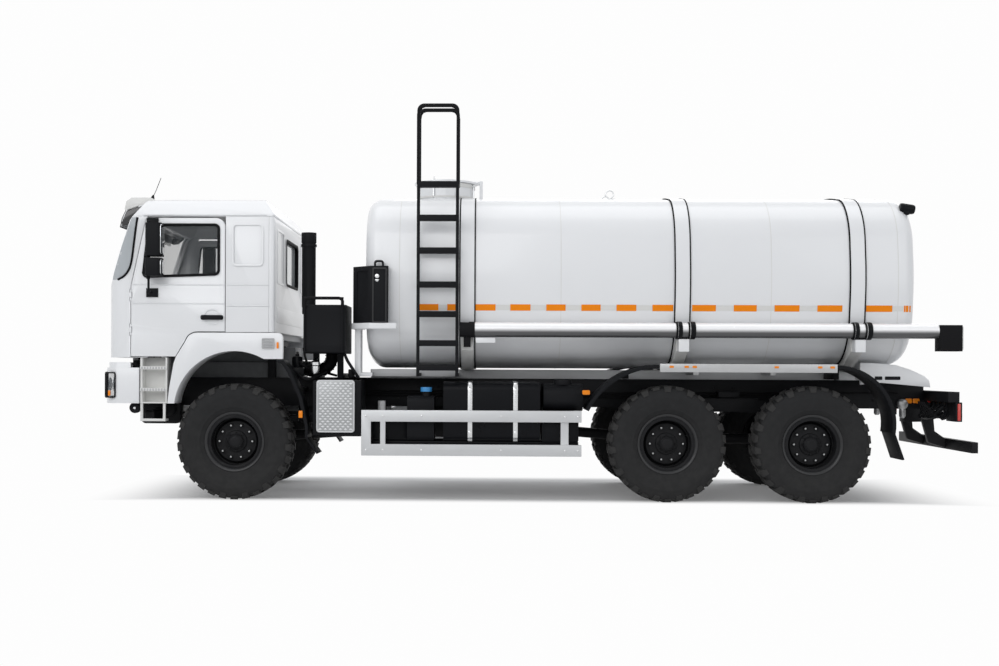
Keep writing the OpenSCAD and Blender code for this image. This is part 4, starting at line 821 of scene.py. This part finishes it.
side_brick((-1053, 1.03, 0.94), (-1013, 1.075, 1.02))
piece("bumper_buffers", "black_plastic", bevel=0.003)
for side in SIDES:
    lathe([(0.014, 0.055), (0.014, 0.066), (0.009, 0.070), (0.003, 0.071)], buffers[side], (0, side, 0), 16)
piece("buffer_studs", "bright_steel")

# Under the cab: steering gear on the left rail and the front underrun beam on its hangers
prism(side_rect((-1110, 0.745), (-690, 1.010), 0.05), "y", -0.580, -0.428)
lathe([(0.075, 0.0), (0.075, 0.03), (0.055, 0.045), (0.020, 0.05)], (at(-800), -0.58, 0.90), (0, -1, 0))
piece("steering_gear", "chassis_black", bevel=0.008)
prism(rounded((-1.0, 0.770), (1.0, 0.900), 0.03), "x", at(-960), at(-865))
side_brick((-945, 0.365, 0.880), (-880, 0.425, 0.950))
piece("front_underrun", "chassis_black", bevel=0.004)

# Tank: reflective tape, dark strips of painted shade at the band edges, seams and fittings
tank_tree = node_tree("tank")
RING = 1460  # a station where the tank has its full section
TANK_MIDDLE_Z = 2.26
tank_outline = sorted({(round(v.co.y, 5), round(v.co.z, 5)) for v in nodes["tank"].data.vertices
                       if abs(v.co.x - at(RING)) < 2e-3}, key=lambda p: atan2(p[1] - TANK_MIDDLE_Z, p[0]))
BANDS = (2279, 4455, 6213)
BAND_W = 150
TAPE_Z = (1.932, 1.996)
TAPE_RUNS = [
    # first and last station of each orange length
    (1850, 2060), (2150, 2262), (2432, 2640), (2790, 2995), (3155, 3350), (3510, 3705), (3865, 4065), (4228, 4438),
    (4628, 4868), (5048, 5278), (5458, 5708), (5888, 6138), (6376, 6638), (6756, 6870),
]
# Dark strips at each band's edges are painted shade, standing in for the shadow gaps along the bands.
for x in BANDS:
    hoop(tank_outline, x - 8, x + 5, -0.002, 0.0125)
    hoop(tank_outline, x + BAND_W - 5, x + BAND_W + 8, -0.002, 0.0125)
piece("band_edge_painted_shade", "rubber", shade=24)
for x in (3300, 5420, 1660, 6690):
    hoop(tank_outline, x, x + 6, -0.002, 0.0018)
piece("tank_seams", "band_cream", shade=24)


def tank_top(x, y):
    """Height of the tank's skin as met from above."""
    return tank_tree.ray_cast(Vector((x, y, 5)), Vector((0, 0, -1)))[0].z


def tape(start, end, side, low, high):
    """Strip laid on the tank's side."""
    steps = 3
    sheet([[on_side(tank_tree, at(start + (end - start) * i / steps), low + (high - low) * k / 2, side, 0.0025)
            for k in range(3)] for i in range(steps + 1)])


for side, side_name in SIDE_NAMES.items():
    for start, end in TAPE_RUNS:
        tape(start, end, side, *TAPE_Z)
    piece(f"orange_tape_{side_name}", "orange_tape", shade=60)
    for (_, start), (end, _) in zip(TAPE_RUNS, TAPE_RUNS[1:]):
        if not any(start <= x + BAND_W and end >= x for x in BANDS):
            tape(start + 4, end - 4, side, TAPE_Z[0] + 0.006, TAPE_Z[1] - 0.006)
    piece(f"white_tape_{side_name}", "band_cream", shade=60)

# Manhole: lid grip, swing bolts and neck ring; lifting eyes and rear camera on the tank's top
NECK = (at(2100), 0)
NECK_R = 0.310
tube(bend([(at(1980), -0.10, 3.385), (at(1975), -0.10, 3.43), (at(1975), 0.10, 3.43), (at(1980), 0.10, 3.385)], 5),
     0.009, 8)
lathe([(0.11, 0.014), (0.11, 0.022), (0.09, 0.03), (0.02, 0.032)], (*NECK, 3.37), (0, 0, 1), 32)
piece("lid_grip", "bright_steel", "manhole_lid")
for x, y in circle(NECK, NECK_R + 0.018, 8, pi / 8):
    tube([(x, y, 3.20), (x, y, 3.335)], 0.008)
    lathe([(0.016, 0.0), (0.018, 0.006), (0.018, 0.022), (0.012, 0.028)], (x, y, 3.312), (0, 0, 1), 6)
piece("manhole_bolts", "bright_steel")
for start, end in ((3.185, 3.205), (3.300, 3.346)):
    plate_ring(circle(NECK, NECK_R + 0.010, 64), circle(NECK, NECK_R - 0.004, 64), "z", start, end)
piece("neck_rings", "band_cream", bevel=0.002)
EYE_X = at(3870)
for y in (-0.25, 0.25):
    top = tank_top(EYE_X, y)
    tube([(EYE_X + 0.038 * sin(a) * (1.15 if abs(a) < 2.2 else 0.8), y, top + 0.052 + 0.045 * cos(a))
          for a in (pi * (k - 6) / 7 for k in range(13))], 0.008, 8)
    brick((EYE_X - 0.06, y - 0.03, top - 0.004), (EYE_X + 0.06, y + 0.03, top + 0.008))
piece("lifting_eyes", "bright_steel", bevel=0.002)
top = tank_top(at(6820), -0.9)
lathe([(0.045, -0.08), (0.05, -0.06), (0.05, 0.05), (0.042, 0.07), (0.02, 0.072)], (at(6850), -0.9, top + 0.035),
      (1, 0, -0.15), 20)
brick((at(6800), -0.94, top - 0.03), (at(6860), -0.86, top + 0.02))
piece("rear_camera", "gloss_black", bevel=0.004)

# Hose tubes: white brackets under the bands, pale end covers, wires and sleeves of the clamps
TUBE_Y, TUBE_Z = 1.195, 1.735
WIRE_R = 0.086
for x in BANDS[1:]:
    side_brick((x + 22, 1.070, 1.520), (x + 128, 1.236, 1.648))
side_brick((2440, 1.100, 1.600), (2640, 1.232, 1.655))
piece("tube_brackets", "body_white", bevel=0.008)
for side in SIDES:
    low, high = span(side, 1.125, 1.265)
    prism(rounded((low, 1.545), (high, 1.790), 0.02), "x", at(7284), at(7298))
piece("tube_end_covers", "band_cream", bevel=0.012)
for side in SIDES:
    for x in BANDS[1:]:
        for start in (14, BAND_W - 14):
            tube([(at(x + start), side * (TUBE_Y + WIRE_R * cos(a)), TUBE_Z + WIRE_R * sin(a))
                  for a in around(28)], 0.0045, 6, loop=True)
piece("clamp_wires", "dull_steel")
CLAMP_SLEEVE = [(0.0800, 0.0), (0.0870, 0.003), (0.0895, 0.012), (0.0895, 0.050), (0.0870, 0.059), (0.0800, 0.062)]
for side in SIDES:
    for x in BANDS[1:]:
        for start in (-4, BAND_W - 22):
            loft([[(at(x + start) + t, side * TUBE_Y + r * cos(a), TUBE_Z + r * sin(a))
                   for r, t in CLAMP_SLEEVE] for a in around(40)], loop=True)
piece("clamp_sleeves", "gloss_black", shade=60)

# Rubber sleeves on the ladder's hoops and on the hoop over the air cleaner
HOOP = [(1856, 3200), (1856, 3900), (1864, 3945), (1886, 3977), (1925, 3990), (2186, 3990), (2225, 3977), (2247, 3945),
        (2255, 3900), (2255, 3200)]
for y in (-1.229, -0.971):
    tube([(at(x), y, z / 1000) for x, z in HOOP], 0.017, 10)
piece("ladder_sleeves", "rubber", shade=60)
INTAKE_HOOP = [(705, 1960), (705, 2020), (716, 2042), (740, 2050), (1055, 2050), (1079, 2042), (1090, 2020),
               (1090, 1960)]
tube([(at(x), -1.178, z / 1000) for x, z in INTAKE_HOOP], 0.0165, 10)
piece("intake_sleeve", "rubber", shade=60)

# Extinguisher box: lock and corner beads on its outer face
lathe([(0.019, 0.0), (0.023, 0.004), (0.021, 0.010), (0.009, 0.012)], (at(1445), -1.239, 2.270), (0, -1, 0))
prism([(at(1423), 2.238), (at(1467), 2.238), (at(1455), 2.216), (at(1435), 2.216)], "y", -1.247, -1.239)
piece("box_lock", "bright_steel", bevel=0.0015)
rim(side_rect((1398, 1.800), (1542, 2.355), 0.012), 0.012, "y", -1.246, -1.239)
piece("box_beads", "rim_satin", bevel=0.002)

# Side equipment: markers, straps, boxes, tread plate, bolts and pipes
repaint("battery_box", "chequer_aluminium", lambda p: p.y < -1.21)
repaint("tank_bracket", "frame_grey", lambda p: p.z < 1.335)
edge = -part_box("walkway_plates")[0][1]
for x in (4405, 4555, 4635, 5452, 5884, 6007):
    side_plate(side_rect((x - 22, 1.358), (x + 22, 1.380), 0.006), edge - 0.002, edge + 0.004)
piece("walkway_markers", "amber", bevel=0.001)
repaint("service_tanks", "blue_plastic", lambda p: p.z > 1.1052 and p.x < at(2100))
fuel_outline = rounded((-1.175, 0.600), (-0.520, 1.205), 0.080)
for x in (2364, 2823):
    hoop(fuel_outline, x, x + 45, -0.002, 0.008)
    for z in (0.66, 1.15):
        brick((at(x + 8), -1.196, z), (at(x + 37), -1.178, z + 0.05))
piece("fuel_straps", "bright_steel", bevel=0.001)
for start, end, front in ((1366, 1770, -1.060), (3112, 3484, -1.150)):
    prism(side_rect((start, 0.600), (end, 0.905), 0.025), "y", front, -0.700)
    rim(side_rect((start + 14, 0.614), (end - 14, 0.891), 0.018), 0.010, "y", front - 0.005, front + 0.002)
    for x in (start + 90, end - 120):
        prism(side_rect((x, 0.835), (x + 30, 0.885), 0.006), "y", front - 0.012, front + 0.002)
TRAY = [(-1.130, 0.602), (-1.130, 0.572), (-1.118, 0.572), (-1.118, 0.590), (-0.562, 0.590), (-0.562, 0.572),
        (-0.550, 0.572), (-0.550, 0.602)]
prism(TRAY, "x", at(1366), at(3484))
piece("tool_boxes", "gloss_black", bevel=0.004)
rim(side_rect((837, 0.692), (1222, 1.220), 0.03), 0.012, "y", -1.2375, -1.233)
for x in (857, 1202):
    for z in (0.715, 1.197):
        prism(circle((at(x), z), 0.010, 6), "y", -1.2395, -1.233)
piece("battery_rim", "guard_silver", bevel=0.001)
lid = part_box("battery_box")[0][1]
for row in range(19):
    z = 0.724 + 0.0257 * row
    for column in range(7 - row % 2):
        x = at(877 + 51 * column + 25.5 * (row % 2))
        prism([(x - 0.019, z), (x, z - 0.010), (x + 0.019, z), (x, z + 0.010)], "y", lid - 0.003, lid + 0.001)
piece("battery_treads", "tread_bars", bevel=0.001)
for x in (1339, 1508, 1900, 2700, 3340, 3470):
    for z in (0.519, 0.862):
        side_plate(circle((at(x), z), 0.011, 6), 1.238, 1.2455)
piece("guard_bolts", "bright_steel", bevel=0.001)
for x in range(1400, 6860, 210):
    if 3700 < x < 4900 or 5200 < x < 6500:
        continue
    for z in (1.02, 1.15):
        side_plate(circle((at(x), z), 0.012, 6), 0.428, 0.440)
piece("frame_bolts", "chassis_black", bevel=0.001)
for y, z, x_end in ((-0.445, 1.10, 6900), (-0.445, 1.075, 6100), (-0.448, 1.05, 5200)):
    tube(bend([(at(900), y, z), (at(2400), y - 0.004, z), (at(3900), y, z - 0.01), (at(x_end), y, z)], 8), 0.008, 6)
piece("frame_pipes", "rubber")

# Behind the cab: hoses, intake duct, tilt pump and filter bowl
for k, path in enumerate((
        ((560, -0.60, 1.45), (640, -0.86, 1.30), (790, -0.72, 1.24)),
        ((545, -0.52, 1.50), (650, -0.95, 1.38), (830, -0.80, 1.28)),
        ((600, -0.45, 1.55), (700, -0.70, 1.36), (980, -0.66, 1.26)),
        ((620, -0.98, 1.28), (720, -1.05, 1.22), (900, -0.90, 1.30)))):
    tube(bend([(at(x), y, z) for x, y, z in path], 8), 0.013 + 0.003 * (k % 2), 8)
piece("air_hoses", "rubber", shade=60)
DUCT = [(935, -0.74, 1.52), (925, -0.74, 1.40), (840, -0.73, 1.325), (690, -0.66, 1.325), (560, -0.52, 1.37)]
duct = bend([(at(x), y, z) for x, y, z in DUCT], 10)
tube(duct, 0.062, 20)
for i in range(4, len(duct) - 4, 3):
    tube([duct[i] + (duct[i + 1] - duct[i]) * t for t in (0.0, 0.25, 0.5, 0.75)], 0.070, 20)
piece("intake_duct", "rubber")
brick((at(560), -0.90, 1.238), (at(640), -0.40, 1.262))
prism(side_rect((545, 1.258), (668, 1.345), 0.015), "y", -0.93, -0.78)
lathe([(0.050, 0.0), (0.056, 0.01), (0.056, 0.11), (0.045, 0.125), (0.022, 0.130), (0.022, 0.150)],
      (at(590), -0.86, 1.335), (0, 0, 1))
prism(side_rect((1125, 1.238), (1180, 1.330), 0.012), "y", -0.92, -0.40)
tube(bend([(at(1095), -1.05, 1.50), (at(1130), -1.06, 1.42), (at(1190), -1.08, 1.33), (at(1250), -1.08, 1.24)], 8),
     0.016, 10)
piece("tilt_pump", "gloss_black", bevel=0.004)
BOWL = (at(800), -1.05, 1.37)
lathe([(0.030, 0.0), (0.044, 0.01), (0.046, 0.05), (0.036, 0.085), (0.012, 0.095)], BOWL, (0, 0, -1))
lathe([(0.050, 0.0), (0.050, 0.03), (0.030, 0.045)], BOWL, (0, 0, 1))
tube([(at(800), -1.05, 1.40), (at(800), -1.0, 1.43), (at(800), -0.87, 1.43)], 0.012)
piece("filter_bowl", "bright_steel")

# Tail fairing: cheeks beside the tank with their slots
CHEEK = [(6400, 1192), (6615, 1214), (7121, 1170), (7105, 1240), (7059, 1283), (6920, 1350), (6770, 1397), (6533, 1418),
         (6400, 1420)]
side_plate(side_outline(CHEEK), 0.785, 0.820)
side_plate(side_outline([(6420, 1242), (7050, 1242), (7050, 1262), (6800, 1308), (6420, 1316)]), 0.550, 0.790)
piece("tail_cheeks", "body_white", bevel=0.006)
for start, end in ((6549, 6626), (6652, 6811)):
    side_plate(side_rect((start, 1.244), (end, 1.280), 0.008), 0.816, 0.8225)
piece("cheek_slots", "black_plastic", bevel=0.001)

# Rear end: red lamp faces and strips, amber markers on the rails, trailer couplings, valves and cables
for side in SIDES:
    for low, high in ((0.845, 0.925), (0.935, 1.010)):
        prism(rounded((side * 1.060 - 0.125, low), (side * 1.060 + 0.125, high), 0.012), "x", at(7305), at(7316))
side_plate(side_rect((7262, 0.840), (7294, 1.012), 0.010), 1.197, 1.207)
side_plate(side_rect((7225, 1.005), (7265, 1.038), 0.010), 0.393, 0.412)
piece("tail_lamp_faces", "lamp_lens", bevel=0.004)
for start, end in ((6981, 7051), (7060, 7130)):
    side_plate(side_rect((start, 0.995), (end, 1.045), 0.012), 0.428, 0.447)
piece("rear_markers", "amber", bevel=0.004)
for k, y in enumerate((-0.92, -0.78, -0.64, -0.50)):
    prism(side_rect((7232, 0.925), (7290, 1.060), 0.014), "y", y - 0.035, y + 0.035)
    lathe([(0.024, -0.03), (0.040, -0.02), (0.044, 0.02), (0.036, 0.045), (0.016, 0.05)],
          (at(7262), y, 0.905 - 0.02 * (k % 2)), (0.5, 0, -1), 20)
    tube(bend([(at(7232), y, 0.99), (at(7170), y + 0.02, 0.93), (at(7120), y + 0.05, 0.86),
               (at(7150), -0.47, 0.84)], 6), 0.011, 8)
piece("trailer_couplings", "black_plastic", bevel=0.003)
for side in SIDES:
    lathe([(0.050, 0.0), (0.056, 0.01), (0.056, 0.05), (0.046, 0.062), (0.020, 0.07)], (at(6945), side * 0.425, 0.985),
          (0, side, 0))
    lathe([(0.030, 0.0), (0.034, 0.03), (0.034, 0.09), (0.022, 0.11)], (at(6945), side * 0.455, 0.95), (0, 0, -1), 20)
piece("brake_valves", "dull_steel", bevel=0.002)
for k in range(4):
    y = -0.95 + 0.11 * k
    tube(bend([(at(7000 + 20 * k), y, 1.02), (at(7090), y - 0.06, 0.90), (at(7190), y - 0.03, 0.86),
               (at(7255), y, 0.93)], 6), 0.008, 6)
piece("rear_cables", "rubber", shade=60)

# Seats, dashboard and steering wheel in place of the plain ones
SEAT_Y = 0.62
SEAM_AT, SEAM_WIDTH = 0.62, 0.06  # shares of a cushion's half width
SEAM_DEPTH = 0.006


def cushion(low, high, turn=0.0, puff=0.012, cuts=10):
    """Soft block: rounded edges, a domed middle and a sewn line across."""
    low, high = Vector(low), Vector(high)
    middle, half = (low + high) / 2, (high - low) / 2
    part = bmesh.new()
    bmesh.ops.create_cube(part, size=2)
    bmesh.ops.subdivide_edges(part, edges=part.edges[:], cuts=cuts, use_grid_fill=True)
    spin = Matrix.Rotation(turn, 3, "Y")
    for v in part.verts:
        u = v.co.copy()
        norm = sum(abs(c) ** 5 for c in u) ** 0.2
        u *= max(abs(c) for c in u) / norm
        p = Vector((u.x * half.x, u.y * half.y, u.z * half.z))
        dome = (1 - u.x ** 2) * (1 - u.y ** 2) if abs(u.z) > 0.8 else (1 - u.y ** 2) * (1 - u.z ** 2)
        seam = exp(-((abs(u.y) - SEAM_AT) / SEAM_WIDTH) ** 2)
        push = puff * dome - SEAM_DEPTH * seam
        if abs(u.z) > 0.8:
            p.z += copysign(push, u.z)
        elif abs(u.x) > 0.8:
            p.x += copysign(push, u.x)
        v.co = middle + spin @ p
    joined = bpy.data.meshes.new("cushion")
    part.to_mesh(joined)
    part.free()
    pen.from_mesh(joined)
    bpy.data.meshes.remove(joined)


for side, side_name in SIDE_NAMES.items():
    y = side * SEAT_Y
    cushion((at(-640), y - 0.25, 1.885), (at(-90), y + 0.25, 2.04))
    cushion((at(-165), y - 0.245, 2.045), (at(-45), y + 0.245, 2.645), turn=radians(15))
    cushion((at(-55), y - 0.14, 2.60), (at(45), y + 0.14, 2.785), turn=radians(8), cuts=6)
    seat = piece(f"seat_{side_name}", "seat_cloth", "cab", shade=60)
DASH = [(-1220, 1902), (-1220, 2138), (-1188, 2178), (-1150, 2203), (-962, 2198), (-902, 2080), (-942, 1962),
        (-1080, 1902)]
prism(side_outline(DASH), "y", -1.058, 1.058)
prism(side_outline([(-1060, 2190), (-1040, 2255), (-950, 2262), (-925, 2185)]), "y", -0.86, -0.38)
side_brick((-1222, 0.942, 1.70), (-1132, 1.058, 1.91))
side_brick((-555, SEAT_Y - 0.175, 1.70), (-165, SEAT_Y + 0.175, 1.895))
piece("cab_trim", "interior_grey", "cab", bevel=0.012, stands_for=("cab_interior",))
hub = Vector((at(-900), -SEAT_Y, 2.12))
lean = Matrix.Rotation(radians(-50), 3, "Y")
tube([hub + lean @ Vector((*p, 0.18)) for p in circle((0, 0), 0.215, 40)], 0.0145, 10, loop=True)
for a in around(3):
    tube([hub + lean @ Vector((r * cos(a), r * sin(a), 0.18)) for r in (0.02, 0.12, 0.214)], 0.010)
tube([hub + lean @ Vector((0, 0, t)) for t in (-0.02, 0.09, 0.186)], 0.031, 16)
piece("steering_wheel", "black_plastic", "cab")
